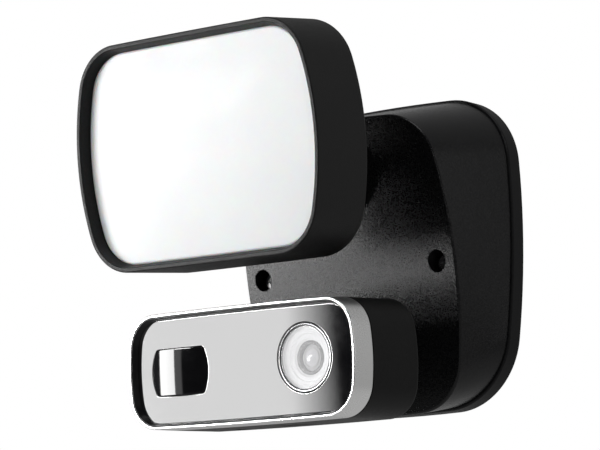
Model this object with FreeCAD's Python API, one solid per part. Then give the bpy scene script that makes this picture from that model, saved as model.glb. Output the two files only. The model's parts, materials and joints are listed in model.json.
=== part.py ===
"""Floodlight security camera: a wall box that carries a lamp head and a camera head on ball joints.

Millimetres. X runs to the right as seen from the front, +Y runs into the wall, +Z is up. The origin is the
centre of the back plate where it meets the wall. Each head is designed in its own frame, with y = 0 on the
head's front rim and y growing towards the wall, and is then tilted about X and moved to its place.
"""
import FreeCAD, Part
import math
import os
from FreeCAD import Placement, Rotation, Vector

# Outlines: half width, half height, bow of the sides, bow of the top and bottom, corner radius.
BASE = (74.9, 80.0, 7.8, 2.2, 38.7)
PANEL = (67.7, 75.4, 11.4, 2.0, 29.0)
LAMP_FRONT = (77.2, 55.8, 11.7, 0.3, 25.0)
LAMP_BACK = (74.4, 57.2, 11.7, 0.3, 28.0)
BAR = (72.2, 28.6, 4.2, 0.6, 16.8)
PIR = (18.4, 11.7, 3.2, 0.2, 2.0)

# Wall box.
PLATE_DEPTH = 8.6
PLATE_FLOOR = 3.0
PLATE_RIM = 4.2
COVER_STEP = 1.4
COVER_WALL = 2.5
PANEL_WALL = 3.0
PANEL_RAKE = 11.65
PANEL_Y0 = -48.6
PANEL_CENTRE_Z = -9.5
WALL_SLOT_X = 40.0
WALL_SLOT_Z = 50.0
WALL_SLOT_LENGTH = 12.0
WALL_SLOT_R = 2.5
CABLE_Z = -50.0
CABLE_R = 4.0
COVER_SCREW_X = 56.4
COVER_SCREW_Z = -9.8
WELL_R = 5.5
WELL_DEPTH = 9.0
WELL_FLOOR = 2.5
WELL_WALL = 1.6
COVER_HOLE_R = 2.2
COVER_EDGE_R = 1.2
POST_R = 5.0
POST_PILOT_R = 2.0
BOSS_R = 3.2
BOSS_PILOT_R = 1.3
BOSS_PILOT_DEPTH = 6.0
FAR_FRONT = -80.0

# Inside the wall box.
GASKET_BAND = (3.0, 9.0)
GASKET_THICK = 1.5
RIM_SEAL_BAND = (1.9, 3.6)
RIM_SEAL_DEPTH = 1.6
GROMMET_R = 8.0
GROMMET_FLANGE_R = 10.5
GROMMET_FLANGE = 2.0
TERMINAL_X = (-11.0, 0.0, 11.0)
TERMINAL_Z = -24.0
TERMINAL_TOP_Y = -18.0
TERMINAL_FLOOR_Y = -9.0
POWER_BOARD_Y = -34.0
BOARD_THICK = 1.6
BOARD_HOLE_R = 1.6

# Ball joints.
BALL_R = 11.0
LINER_IN_R = 11.08
LINER_OUT_R = 13.0
CAVITY_R = 13.1
SPIGOT_R = 15.5
RING_BORE_R = 15.6
RING_R = 18.6
NECK_R = 5.2
COLLAR_R = 20.0
COLLAR_H = 5.0
LEAD_R = 3.0
LOCK_HALF_ANGLE = 62.0
GRIP_COUNT = 24
GRIP_R = 0.9
ARM_SPIGOT_R = 9.9
ARM_HOLE_R = 10.0
ARM_NUT_R = 16.0
ARM_NUT_H = 5.0
ARM_SEAL_R = 16.0
ARM_SEAL_BORE_R = 13.0
ARM_SEAL_H = 1.2
SOCKET_FLANGE_R = 21.5
SOCKET_FLANGE = 3.5
SOCKET_SCREW_CIRCLE_R = 18.3
SOCKET_LEAD_R = 4.0

# Lamp head.
LAMP_TILT = 7.87
LAMP_CENTRE = Vector(0, -162.8, 36.2)
LAMP_DEPTH = 40.7
LAMP_JOINT = 60.4
LAMP_COLLAR_Z = 37.5
LAMP_RIM = 2.3
LENS_RECESS = 5.2
LENS_INSET = 3.8
LIP_EDGE_R = 0.5
LAMP_BACK_EDGE_R = 2.5
LEDGE_Y = 12.0
LED_Y = 24.0
LED_HALF = 1.6
LED_PITCH_X, LED_PITCH_Z = 13.0, 14.0
SINK_Y = LED_Y + BOARD_THICK
SINK_PLATE = 3.0
SINK_INSET = 9.0
FIN_HALF_HEIGHT = 28.0

# Camera head.
BAR_TILT = 4.1
BAR_CENTRE = Vector(0, -129.0, -64.7)
BAR_DEPTH = 48.1
BAR_JOINT = 64.7
BAR_COLLAR_Z = -60.1
BEZEL_DEPTH = 13.3
SEAM = 0.6
FACE_RECESS = 3.9
FACE_THICK = 2.0
BAR_WALL = 2.2
LENS_X, LENS_Z = 38.5, 0.9
WINDOW_R = 16.8
PIR_X, PIR_Z = -41.2, -0.5
BOARD_Y = 26.4
FLAP_X, FLAP_Y, FLAP_W, FLAP_L = 8.0, 31.0, 20.0, 8.0
FLAP_THICK = 1.4
FLAP_GAP = 0.25
FLAP_ROLL_R = 0.65
POCKET_DEPTH = 1.7
POCKET_FLOOR = 2.0
RESET_X = 2.0
SPEAKER_X, SPEAKER_Y = -31.0, 37.0
SPEAKER_HALF_X, SPEAKER_HALF_Y = 4.0, 2.5
MICROPHONE_X = -14.0

Y_AXIS = Vector(0, 1, 0)
Z_AXIS = Vector(0, 0, 1)


# ---------------------------------------------------------------- shared shapes

def outline(spec, y, inset=0.0):
    """Closed wire at depth y: bowed sides, bowed top and bottom and filleted corners, all circular arcs.

    An inset keeps every arc's centre and takes the inset off its radius, so the wall is even all round.
    """
    half_w, half_h, bow_side, bow_top, corner = spec
    side_r = (half_h ** 2 + bow_side ** 2) / (2 * bow_side)
    flat_w = half_w - bow_side
    top_r = (flat_w ** 2 + bow_top ** 2) / (2 * bow_top)
    side_x = half_w - side_r
    top_z = half_h - top_r
    gap = math.hypot(side_x, top_z)
    reach_side, reach_top = side_r - corner, top_r - corner
    along = (reach_side ** 2 - reach_top ** 2 + gap ** 2) / (2 * gap)
    across = math.sqrt(reach_side ** 2 - along ** 2)
    ux, uz = -side_x / gap, top_z / gap
    options = [(side_x + ux * along - k * uz * across, uz * along + k * ux * across) for k in (1, -1)]
    fillet_x, fillet_z = max(options)
    a_side = math.atan2(fillet_z, fillet_x - side_x)
    a_top = math.atan2(fillet_z - top_z, fillet_x)
    half_turn = math.pi
    arcs = [
        (side_x, 0, side_r, -a_side, a_side),
        (fillet_x, fillet_z, corner, a_side, a_top),
        (0, top_z, top_r, a_top, half_turn - a_top),
        (-fillet_x, fillet_z, corner, half_turn - a_top, half_turn - a_side),
        (-side_x, 0, side_r, half_turn - a_side, half_turn + a_side),
        (-fillet_x, -fillet_z, corner, half_turn + a_side, half_turn + a_top),
        (0, -top_z, top_r, half_turn + a_top, 2 * half_turn - a_top),
        (fillet_x, -fillet_z, corner, 2 * half_turn - a_top, 2 * half_turn - a_side),
    ]
    edges = []
    for cx, cz, radius, start, stop in arcs:
        r = radius - inset
        points = [Vector(cx + r * math.cos(a), y, cz + r * math.sin(a))
                  for a in (start, (start + stop) / 2, stop)]
        edges.append(Part.Arc(*points).toShape())
    return Part.Wire(edges)


def slab(spec, y_from, y_to, inset=0.0):
    """Solid of constant outline between two depths."""
    return Part.Face(outline(spec, y_from, inset)).extrude(Vector(0, y_to - y_from, 0))


def taper(spec_a, y_a, inset_a, spec_b, y_b, inset_b):
    """Solid that runs straight from one outline to another."""
    return Part.makeLoft([outline(spec_a, y_a, inset_a), outline(spec_b, y_b, inset_b)], True, True)


def band(spec, y_from, y_to, inset_out, inset_in):
    """Ring between two insets of one outline."""
    return slab(spec, y_from, y_to, inset_out).cut(slab(spec, y_from, y_to, inset_in))


def rod(x, z, radius, y_from, y_to):
    """Cylinder along Y."""
    return Part.makeCylinder(radius, y_to - y_from, Vector(x, y_from, z), Y_AXIS)


def block(x0, x1, y0, y1, z0, z1):
    """Box between two corners."""
    return Part.makeBox(x1 - x0, y1 - y0, z1 - z0, Vector(x0, y0, z0))


def merged(shapes):
    """One solid from touching or crossing shapes."""
    return shapes[0].fuse(shapes[1:]).removeSplitter()


def without(shape, *tools):
    """Shape with every tool cut away."""
    return shape.cut(list(tools))


def group(shapes):
    """Separate solids kept together in one node."""
    return Part.makeCompound(shapes)


def rounded(shape, radius, picks):
    """Shape with the edges that picks accepts rounded off."""
    return shape.makeFillet(radius, [edge for edge in shape.Edges if picks(edge)])


def lies_at(y):
    """Test for edges that lie wholly at depth y."""
    return lambda edge: abs(edge.BoundBox.YMin - y) < 1e-4 and abs(edge.BoundBox.YMax - y) < 1e-4


def corners(half_x, half_z):
    """The four corners of a rectangle about the axis."""
    return [(sx * half_x, sz * half_z) for sx in (-1, 1) for sz in (-1, 1)]


def pan_head_screw(x, z, head_y, head_r, head_h, shank_r, shank_l):
    """Cross-recess screw that points along +Y, its head's underside at head_y."""
    head = rounded(rod(x, z, head_r, head_y - head_h, head_y), head_h * 0.45, lies_at(head_y - head_h))
    slot, slot_l = head_r * 0.12, head_r * 0.6
    recess = [block(x - slot_l, x + slot_l, head_y - head_h, head_y - head_h * 0.4, z - slot, z + slot),
              block(x - slot, x + slot, head_y - head_h, head_y - head_h * 0.4, z - slot_l, z + slot_l)]
    return without(merged([head, rod(x, z, shank_r, head_y, head_y + shank_l)]), *recess)


def rear_screw(x, z, head_y, head_r, head_h, shank_r, shank_l):
    """The same screw turned round, so that its head faces the wall and it points along -Y."""
    screw = pan_head_screw(0, 0, 0, head_r, head_h, shank_r, shank_l)
    screw.rotate(Vector(0, 0, 0), Z_AXIS, 180)
    screw.translate(Vector(x, head_y, z))
    return screw


def placed(shape, tilt, centre):
    """Head shape moved from the head's own frame to the object's frame."""
    moved = shape.copy()
    moved.Placement = Placement(centre, Rotation(Vector(1, 0, 0), tilt)).multiply(moved.Placement)
    return moved


# ---------------------------------------------------------------- wall box

RAKE = math.radians(PANEL_RAKE)
PANEL_IN = Vector(0, math.cos(RAKE), math.sin(RAKE))


def panel_point(z):
    """Point of the raked front panel on the centre line at height z."""
    return Vector(0, PANEL_Y0 - math.tan(RAKE) * z, z)


def lies_in_panel(edge):
    """Test for edges in the raked front panel's plane."""
    points = [vertex.Point for vertex in edge.Vertexes] + [edge.CenterOfMass]
    return all(abs((point - panel_point(0)).dot(PANEL_IN)) < 0.5 for point in points)


def cover_body(inset, from_y, panel_shift):
    """Solid from the cover's open edge to its raked front panel, drawn in by inset."""
    back = outline(BASE, from_y, COVER_STEP + inset)
    front = outline(PANEL, panel_shift, inset)
    front.Placement = Placement(panel_point(PANEL_CENTRE_Z), Rotation(Vector(1, 0, 0), PANEL_RAKE))
    return Part.makeLoft([back, front], True, True)


WELL_FLOOR_Y = panel_point(COVER_SCREW_Z).y + WELL_DEPTH
POST_TOP_Y = WELL_FLOOR_Y + WELL_FLOOR
SCREW_POSTS = [(-COVER_SCREW_X, COVER_SCREW_Z), (COVER_SCREW_X, COVER_SCREW_Z)]
POWER_BOARD_BOSSES = [(x, z) for x in (-32, 32) for z in (2, 54)]


def housing_cover():
    """Drafted shell with a raked front panel, two screw wells and four bosses for the power board."""
    outer = rounded(cover_body(0, -PLATE_DEPTH, 0), COVER_EDGE_R, lies_in_panel)
    shell = outer.cut(cover_body(COVER_WALL, -PLATE_DEPTH, PANEL_WALL))
    wells = [rod(x, z, WELL_R + WELL_WALL, FAR_FRONT, POST_TOP_Y).common(outer) for x, z in SCREW_POSTS]
    bosses = [rod(x, z, BOSS_R, FAR_FRONT, POWER_BOARD_Y).common(outer) for x, z in POWER_BOARD_BOSSES]
    shell = merged([shell] + wells + bosses)
    holes = [rod(x, z, WELL_R, FAR_FRONT, WELL_FLOOR_Y) for x, z in SCREW_POSTS]
    holes += [rod(x, z, COVER_HOLE_R, FAR_FRONT, POST_TOP_Y) for x, z in SCREW_POSTS]
    holes += [rod(x, z, BOSS_PILOT_R, POWER_BOARD_Y - BOSS_PILOT_DEPTH, POWER_BOARD_Y)
              for x, z in POWER_BOARD_BOSSES]
    holes += [Part.makeCylinder(ARM_HOLE_R, 20, panel_point(z) - PANEL_IN * 10, PANEL_IN)
              for z in (LAMP_COLLAR_Z, BAR_COLLAR_Z)]
    return without(shell, *holes)


def wall_slot(x, z):
    """Slotted hole through the plate's floor, its long side along X."""
    run = WALL_SLOT_LENGTH / 2 - WALL_SLOT_R
    middle = block(x - run, x + run, -PLATE_FLOOR, 0, z - WALL_SLOT_R, z + WALL_SLOT_R)
    return merged([middle] + [rod(x + k * run, z, WALL_SLOT_R, -PLATE_FLOOR, 0) for k in (-1, 1)])


def back_plate():
    """Tray that screws to the wall, with posts for the cover screws and grooves for both gaskets."""
    blank = rounded(slab(BASE, 0, -PLATE_DEPTH), 1.0, lies_at(-PLATE_DEPTH))
    tray = blank.cut(slab(BASE, -PLATE_FLOOR, -PLATE_DEPTH, PLATE_RIM))
    posts = [rod(x, z, POST_R, POST_TOP_Y, -PLATE_FLOOR) for x, z in SCREW_POSTS]
    holes = [rod(x, z, POST_PILOT_R, POST_TOP_Y, -2 * PLATE_FLOOR) for x, z in SCREW_POSTS]
    holes += [wall_slot(x, z) for x, z in corners(WALL_SLOT_X, WALL_SLOT_Z)]
    holes += [rod(0, CABLE_Z, GROMMET_R, -PLATE_FLOOR, 0)]
    return without(merged([tray] + posts), wall_gasket(), cover_gasket(), *holes)


def wall_gasket():
    """Flat seal in the back of the plate, flush with the wall face."""
    return band(BASE, -GASKET_THICK, 0, *GASKET_BAND)


def cover_gasket():
    """Seal in the plate's rim, under the cover's open edge."""
    return band(BASE, -PLATE_DEPTH, -PLATE_DEPTH + RIM_SEAL_DEPTH, *RIM_SEAL_BAND)


def cable_grommet():
    """Rubber grommet that the mains lead comes in through."""
    inner_y = -PLATE_FLOOR - GROMMET_FLANGE
    body = merged([rod(0, CABLE_Z, GROMMET_R, -PLATE_FLOOR, 0),
                   rod(0, CABLE_Z, GROMMET_FLANGE_R, inner_y, -PLATE_FLOOR)])
    return body.cut(rod(0, CABLE_Z, CABLE_R, inner_y, 0))


def terminal_block():
    """Three-pole block on the plate's floor: screw pockets on top, wire holes below."""
    half_w, half_h, wire_r = 18.0, 6.0, 1.8
    body = block(-half_w, half_w, TERMINAL_TOP_Y, -PLATE_FLOOR, TERMINAL_Z - half_h, TERMINAL_Z + half_h)
    pockets = [rod(x, TERMINAL_Z, half_h / 2, TERMINAL_TOP_Y, TERMINAL_FLOOR_Y) for x in TERMINAL_X]
    wires = [Part.makeCylinder(wire_r, half_h, Vector(x, TERMINAL_FLOOR_Y + 2, TERMINAL_Z - half_h), Z_AXIS)
             for x in TERMINAL_X]
    return without(body, *(pockets + wires))


def terminal_screws():
    """Clamp screws of the terminal block."""
    radius, slot_half, slot_depth, top_y = 2.7, 0.4, 1.0, -14.0
    return group([rod(x, TERMINAL_Z, radius, top_y, TERMINAL_FLOOR_Y).cut(
        block(x - radius, x + radius, top_y, top_y + slot_depth,
              TERMINAL_Z - slot_half, TERMINAL_Z + slot_half)) for x in TERMINAL_X])


def power_board():
    """Mains power supply board, screwed to the cover's bosses."""
    back_y = POWER_BOARD_Y + BOARD_THICK
    board = block(-37, 37, POWER_BOARD_Y, back_y, -3, 59)
    return without(board, *[rod(x, z, BOARD_HOLE_R, POWER_BOARD_Y, back_y) for x, z in POWER_BOARD_BOSSES])


def power_board_screws():
    """Four screws through the power board."""
    return group([rear_screw(x, z, POWER_BOARD_Y + BOARD_THICK, 2.6, 1.8, 1.25, 6)
                  for x, z in POWER_BOARD_BOSSES])


def power_transformer():
    """Ferrite transformer with its bobbin."""
    y = POWER_BOARD_Y + BOARD_THICK
    core = block(-14, 10, y, y + 15, 18, 40)
    bobbin = block(-10, 6, y, y + 17, 21, 37)
    return merged([core, bobbin])


def power_capacitors():
    """Upright capacitors and the film capacitor on the power board."""
    y = POWER_BOARD_Y + BOARD_THICK
    cans = [rounded(rod(x, z, r, y, y + h), 0.8, lies_at(y + h))
            for x, z, r, h in ((22, 42, 6, 16), (22, 26, 5, 14), (24, 13, 4, 12))]
    return group(cans + [block(-30, -20, y, y + 12, 12, 30)])


def arm(collar_z, ball, flare_r, straight):
    """Fixed arm: collar on the panel, trumpet neck and ball, with a bore for the leads."""
    foot = panel_point(collar_z)
    seat = foot - PANEL_IN * COLLAR_H
    collar = Part.makeCylinder(COLLAR_R, COLLAR_H, seat, PANEL_IN)
    collar = collar.makeFillet(1.5, [e for e in collar.Edges if (e.CenterOfMass - seat).Length < 1e-3])
    run = (seat - ball).Length + 6
    flare = ((flare_r - NECK_R) ** 2 + (run - straight) ** 2) / (2 * (flare_r - NECK_R))
    half = math.asin((run - straight) / flare) / 2
    start, end = Vector(NECK_R, 0, straight), Vector(flare_r, 0, run)
    middle = Vector(NECK_R + flare * (1 - math.cos(half)), 0, straight + flare * math.sin(half))
    near = 0.8 * BALL_R
    corner_points = [end, Vector(0, 0, run), Vector(0, 0, near), Vector(NECK_R, 0, near), start]
    profile = [Part.Arc(start, middle, end).toShape()]
    profile += [Part.makeLine(a, b) for a, b in zip(corner_points, corner_points[1:])]
    neck = Part.Face(Part.Wire(profile)).revolve(Vector(0, 0, 0), Z_AXIS, 360)
    neck.Placement = Placement(ball, Rotation(Z_AXIS, seat - ball))
    neck = neck.cut(Part.makeCylinder(2 * COLLAR_R, 2 * COLLAR_R, seat + PANEL_IN, PANEL_IN))
    spigot = Part.makeCylinder(ARM_SPIGOT_R, PANEL_WALL + ARM_NUT_H + 2, foot, PANEL_IN)
    body = merged([collar, spigot, neck, Part.makeSphere(BALL_R, ball)])
    toward = (ball - seat).normalize()
    leads = [Part.makeCylinder(LEAD_R, (ball - seat).Length + BALL_R + 1, seat, toward),
             Part.makeCylinder(LEAD_R, COLLAR_H + PANEL_WALL + 8, seat - PANEL_IN, PANEL_IN)]
    return without(body, arm_seal(collar_z), *leads)


def arm_seal(collar_z):
    """Flat ring under the arm's collar."""
    start = panel_point(collar_z) - PANEL_IN * ARM_SEAL_H
    disc = Part.makeCylinder(ARM_SEAL_R, ARM_SEAL_H, start, PANEL_IN)
    return disc.cut(Part.makeCylinder(ARM_SEAL_BORE_R, ARM_SEAL_H, start, PANEL_IN))


def arm_nut(collar_z):
    """Hexagon nut inside the cover that holds the arm."""
    start = panel_point(collar_z) + PANEL_IN * PANEL_WALL
    turns = [math.radians(60 * k) for k in range(7)]
    hexagon = Part.makePolygon([Vector(math.cos(a), math.sin(a), 0) * ARM_NUT_R for a in turns])
    nut = Part.Face(hexagon).extrude(Z_AXIS * ARM_NUT_H)
    nut.Placement = Placement(start, Rotation(Z_AXIS, PANEL_IN))
    return nut.cut(Part.makeCylinder(ARM_HOLE_R, ARM_NUT_H, start, PANEL_IN))


# ---------------------------------------------------------------- ball joints

def head_point(tilt, centre, y):
    """Point on a head's axis, y behind its rim, in the object's frame."""
    return centre + Vector(0, math.cos(math.radians(tilt)), math.sin(math.radians(tilt))) * y


LAMP_BALL = head_point(LAMP_TILT, LAMP_CENTRE, LAMP_JOINT)
BAR_BALL = head_point(BAR_TILT, BAR_CENTRE, BAR_JOINT)


def open_cone(ball, direction, half_angle, length=20.0):
    """Cone with its tip in the ball's centre, used to clear the arm or the leads."""
    return Part.makeCone(0, length * math.tan(math.radians(half_angle)), length, ball, direction)


def joint_liner(ball, collar_z):
    """Nylon liner between ball and socket: a spherical zone, open to the arm and to the head."""
    shell = Part.makeSphere(LINER_OUT_R, ball).cut(Part.makeSphere(LINER_IN_R, ball))
    foot = panel_point(collar_z) - PANEL_IN * COLLAR_H
    return without(shell, open_cone(ball, foot - ball, 55), open_cone(ball, Vector(0, -1, 0), 30))


def lock_ring(joint_y):
    """Grooved clamp ring that screws onto the socket and holds the ball."""
    ball = Vector(0, joint_y, 0)
    ring = rounded(rod(0, 0, RING_R, joint_y - 9, joint_y + 8.5), 1.2, lies_at(joint_y + 8.5))
    turns = [2 * math.pi * k / GRIP_COUNT for k in range(GRIP_COUNT)]
    grips = [rod(RING_R * math.cos(a), RING_R * math.sin(a), GRIP_R, joint_y - 7.5, joint_y + 9)
             for a in turns]
    return without(ring, rod(0, 0, RING_BORE_R, joint_y - 9, joint_y - 0.2), Part.makeSphere(CAVITY_R, ball),
                   open_cone(ball, Y_AXIS, LOCK_HALF_ANGLE), *grips)


SOCKET_SCREWS = corners(SOCKET_SCREW_CIRCLE_R / math.sqrt(2), SOCKET_SCREW_CIRCLE_R / math.sqrt(2))


def socket(back_y, joint_y):
    """Cup on the head's back that takes the ball, with a screwed flange."""
    body = merged([rod(0, 0, SOCKET_FLANGE_R, back_y, back_y + SOCKET_FLANGE),
                   rod(0, 0, SPIGOT_R, back_y, joint_y - 0.4)])
    holes = [rod(x, z, 1.6, back_y, back_y + SOCKET_FLANGE) for x, z in SOCKET_SCREWS]
    holes += [rod(0, 0, SOCKET_LEAD_R, back_y, joint_y)]
    return without(body, Part.makeSphere(CAVITY_R, Vector(0, joint_y, 0)), *holes)


def socket_screws(back_y):
    """Four screws that hold the socket to the head's back wall."""
    return group([rear_screw(x, z, back_y + SOCKET_FLANGE, 2.4, 1.6, 1.4, SOCKET_FLANGE + 2.4)
                  for x, z in SOCKET_SCREWS])


def back_wall_holes(back_y):
    """Holes in a head's back wall for the socket's screws and the leads."""
    depth = 4.0
    holes = [rod(x, z, 1.5, back_y - depth, back_y) for x, z in SOCKET_SCREWS]
    return holes + [rod(0, 0, SOCKET_LEAD_R, back_y - depth, back_y)]


# ---------------------------------------------------------------- lamp head

LAMP_BOSSES = corners(45.5, 28)


def lamp_outer():
    """Outer form of the lamp head."""
    return taper(LAMP_FRONT, 0, 0, LAMP_BACK, LAMP_DEPTH, 0)


def lamp_shell():
    """Deep shell: narrow front rim, ledge for the diffuser, closed back with bosses inside."""
    outer = rounded(lamp_outer(), LAMP_BACK_EDGE_R, lies_at(LAMP_DEPTH))
    outer = rounded(outer, LIP_EDGE_R, lies_at(0))
    mouth = taper(LAMP_FRONT, 0, LAMP_RIM, LAMP_FRONT, LENS_RECESS, LENS_INSET)
    seat = slab(LAMP_FRONT, LENS_RECESS, LEDGE_Y, LENS_INSET)
    inside = taper(LAMP_FRONT, LEDGE_Y, LENS_INSET + 2, LAMP_BACK, LAMP_DEPTH - 3, 3.2)
    bosses = [rod(x, z, 3.5, SINK_Y + SINK_PLATE, LAMP_DEPTH - 3) for x, z in LAMP_BOSSES]
    shell = merged([without(outer, mouth, seat, inside)] + bosses)
    pilots = [rod(x, z, 1.2, SINK_Y + SINK_PLATE, LAMP_DEPTH - 5) for x, z in LAMP_BOSSES]
    return without(shell, *(pilots + back_wall_holes(LAMP_DEPTH)))


def lamp_diffuser():
    """Opal front panel with a skirt that stands on the seal."""
    outer_inset, back = LENS_INSET + 0.1, LENS_RECESS + 2.5
    plate = rounded(slab(LAMP_FRONT, LENS_RECESS, back, outer_inset), 0.8, lies_at(LENS_RECESS))
    return merged([plate, band(LAMP_FRONT, back, LEDGE_Y - 1, outer_inset, outer_inset + 1.6)])


def lamp_seal():
    """Soft seal between the diffuser's skirt and the ledge."""
    return band(LAMP_FRONT, LEDGE_Y - 1, LEDGE_Y, LENS_INSET + 0.1, LENS_INSET + 1.9)


def lamp_reflector():
    """White sloping frame that throws the side light forward."""
    front, back = LEDGE_Y + 0.9, LED_Y - 0.1
    outer = taper(LAMP_FRONT, front, 7.5, LAMP_FRONT, back, 19.0)
    inner = taper(LAMP_FRONT, front, 8.7, LAMP_FRONT, back, 20.2)
    return merged([outer.cut(inner), band(LAMP_FRONT, front, front + 1, 6.2, 8.6)])


def lamp_led_board():
    """White aluminium-backed LED board."""
    holes = [rod(x, z, BOARD_HOLE_R, LED_Y, SINK_Y) for x, z in LAMP_BOSSES]
    return without(slab(LAMP_FRONT, LED_Y, SINK_Y, SINK_INSET), *holes)


def lamp_leds():
    """Grid of surface-mounted LEDs."""
    spots = [(ix * LED_PITCH_X, iz * LED_PITCH_Z)
             for ix in range(-3, 4) for iz in (-1.5, -0.5, 0.5, 1.5)]
    return group([block(x - LED_HALF, x + LED_HALF, LED_Y - 0.8, LED_Y, z - LED_HALF, z + LED_HALF)
                  for x, z in spots])


def lamp_heatsink():
    """Aluminium plate with upright fins behind the LED board."""
    plate_y, fin_half = SINK_Y + SINK_PLATE, 0.8
    plate = slab(LAMP_FRONT, SINK_Y, plate_y, SINK_INSET)
    fins = [block(x - fin_half, x + fin_half, plate_y, LAMP_DEPTH - 4.2, -FIN_HALF_HEIGHT, FIN_HALF_HEIGHT)
            for x in range(-36, 37, 8)]
    holes = [rod(x, z, BOARD_HOLE_R, SINK_Y, plate_y) for x, z in LAMP_BOSSES]
    return without(merged([plate] + fins), *holes)


def lamp_board_screws():
    """Screws through LED board and heatsink into the shell's bosses."""
    return group([pan_head_screw(x, z, LED_Y, 2.6, 1.6, 1.15, 10) for x, z in LAMP_BOSSES])


# ---------------------------------------------------------------- camera head

HOUSING_Y = BEZEL_DEPTH + SEAM
BAR_POSTS = corners(60, 16)


def housing_outer():
    """Outer form of the camera head behind the bezel."""
    return taper(BAR, HOUSING_Y, -0.4, BAR, BAR_DEPTH, -0.8)


def wall_z(depth_in):
    """Height of the underside in the flap's region, depth_in inside the outer face."""
    return -BAR[1] - 0.6 + depth_in


def flap_space(grow, z_top):
    """Block over the flap's pocket, grown outwards by grow, from below the head up to z_top."""
    return block(FLAP_X - FLAP_W / 2 - grow, FLAP_X + FLAP_W / 2 + grow,
                 FLAP_Y - FLAP_L / 2 - grow, FLAP_Y + FLAP_L / 2 + grow, wall_z(-3), z_top)


def camera_housing():
    """Bucket behind the bezel with a flap pocket, card slot, sound holes and a closed back."""
    outer = rounded(housing_outer(), 2.0, lies_at(BAR_DEPTH))
    inside = slab(BAR, HOUSING_Y, BAR_DEPTH - 2.5, BAR_WALL - 0.4)
    pad_top = wall_z(POCKET_DEPTH + POCKET_FLOOR)
    pad = flap_space(2, pad_top).common(outer)
    shell = merged([outer.cut(inside), pad])
    cuts = [flap_space(0, wall_z(POCKET_DEPTH)),
            Part.makeCylinder(2.1, 12, Vector(RESET_X, FLAP_Y, wall_z(-1)), Z_AXIS),
            block(6.6, 17.8, 28.1, 29.9, wall_z(0), pad_top + 1),
            block(SPEAKER_X - SPEAKER_HALF_X, SPEAKER_X + SPEAKER_HALF_X,
                  SPEAKER_Y - SPEAKER_HALF_Y, SPEAKER_Y + SPEAKER_HALF_Y, wall_z(-1), wall_z(4)),
            Part.makeCylinder(0.8, 6, Vector(MICROPHONE_X, FLAP_Y, wall_z(-1)), Z_AXIS)]
    cuts += [rod(x, z, 1.5, BAR_DEPTH - 3, BAR_DEPTH) for x, z in BAR_POSTS]
    return without(shell, *(cuts + back_wall_holes(BAR_DEPTH)))


def camera_bezel():
    """Metal front ring with a bright rim, a ledge for the face panel and four screw posts."""
    outer = taper(BAR, 0, 0, BAR, BEZEL_DEPTH, -0.4)
    outer = rounded(outer, 0.6, lies_at(0))
    mouth = taper(BAR, 0, 2.1, BAR, FACE_RECESS, 2.8)
    seat = slab(BAR, FACE_RECESS, FACE_RECESS + FACE_THICK, 2.8)
    inside = slab(BAR, FACE_RECESS + FACE_THICK, BEZEL_DEPTH, 4.4)
    ring = without(outer, mouth, seat, inside)
    tongue = band(BAR, BEZEL_DEPTH, BEZEL_DEPTH + 4.5, 2.0, 4.4)
    posts = [rod(x, z, 3.0, BEZEL_DEPTH - 3, BAR_DEPTH - 2.5) for x, z in BAR_POSTS]
    webs = [block(min(x, x + k * 8), max(x, x + k * 8), BEZEL_DEPTH - 3, BEZEL_DEPTH + 4, z - 1, z + 1)
            .common(slab(BAR, 0, BAR_DEPTH, 3.0)) for x, z in BAR_POSTS for k in (math.copysign(1, x),)]
    pilots = [rod(x, z, 1.2, BAR_DEPTH - 14, BAR_DEPTH - 2.5) for x, z in BAR_POSTS]
    return without(merged([ring, tongue] + posts + webs), *pilots)


def bezel_seal():
    """Thin dark seal in the seam between bezel and housing."""
    return band(BAR, BEZEL_DEPTH, HOUSING_Y, 0.1, 1.7)


def camera_face():
    """Glossy front panel with openings for the camera window and the motion sensor."""
    plate = slab(BAR, FACE_RECESS, FACE_RECESS + FACE_THICK, 2.9)
    return without(plate, rod(LENS_X, LENS_Z, WINDOW_R, FACE_RECESS, FACE_RECESS + FACE_THICK), pir_hole(0))


def pir_hole(inset):
    """Block through the face in the motion sensor window's outline."""
    hole = slab(PIR, FACE_RECESS, FACE_RECESS + FACE_THICK, inset)
    hole.translate(Vector(PIR_X, 0, PIR_Z))
    return hole


def pir_lens():
    """Black motion sensor lens: a bowed window that bulges forward like part of an upright drum."""
    bulge, half_w, wall, flange_h, flange_grow, gap = 2.6, PIR[0], 1.8, 1.2, 1.4, 0.1
    drum_r = (half_w ** 2 + bulge ** 2) / (2 * bulge)
    foot = Vector(0, FACE_RECESS - bulge + drum_r, -PIR[1] - 1)
    height = 2 * PIR[1] + 2
    drum = Part.makeCylinder(drum_r, height, foot, Z_AXIS)
    drum = drum.cut(Part.makeCylinder(drum_r - wall, height, foot, Z_AXIS))
    back = FACE_RECESS + FACE_THICK
    window = drum.common(slab(PIR, 0, back, gap))
    edge = band(PIR, FACE_RECESS, back, gap, gap + 1.5)
    flange = band(PIR, back, back + flange_h, -flange_grow, gap + 1.5)
    lens = merged([window, edge, flange])
    lens.translate(Vector(PIR_X, 0, PIR_Z))
    return lens


def pir_sensor():
    """Metal-can motion sensor on the board."""
    can = rounded(rod(PIR_X, PIR_Z, 4.1, BOARD_Y - 4.2, BOARD_Y), 0.5, lies_at(BOARD_Y - 4.2))
    return merged([can, rod(PIR_X, PIR_Z, 4.7, BOARD_Y - 0.6, BOARD_Y)])


def lens_trim_ring():
    """Dark ring round the camera window."""
    ring = rod(LENS_X, LENS_Z, WINDOW_R - 0.1, FACE_RECESS - 0.3, FACE_RECESS + FACE_THICK)
    return ring.cut(rod(LENS_X, LENS_Z, WINDOW_R - 1.6, FACE_RECESS - 0.3, FACE_RECESS + FACE_THICK))


def lens_window():
    """Clear disc in front of the camera."""
    return rod(LENS_X, LENS_Z, WINDOW_R - 1.7, FACE_RECESS + 0.2, FACE_RECESS + FACE_THICK)


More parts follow.
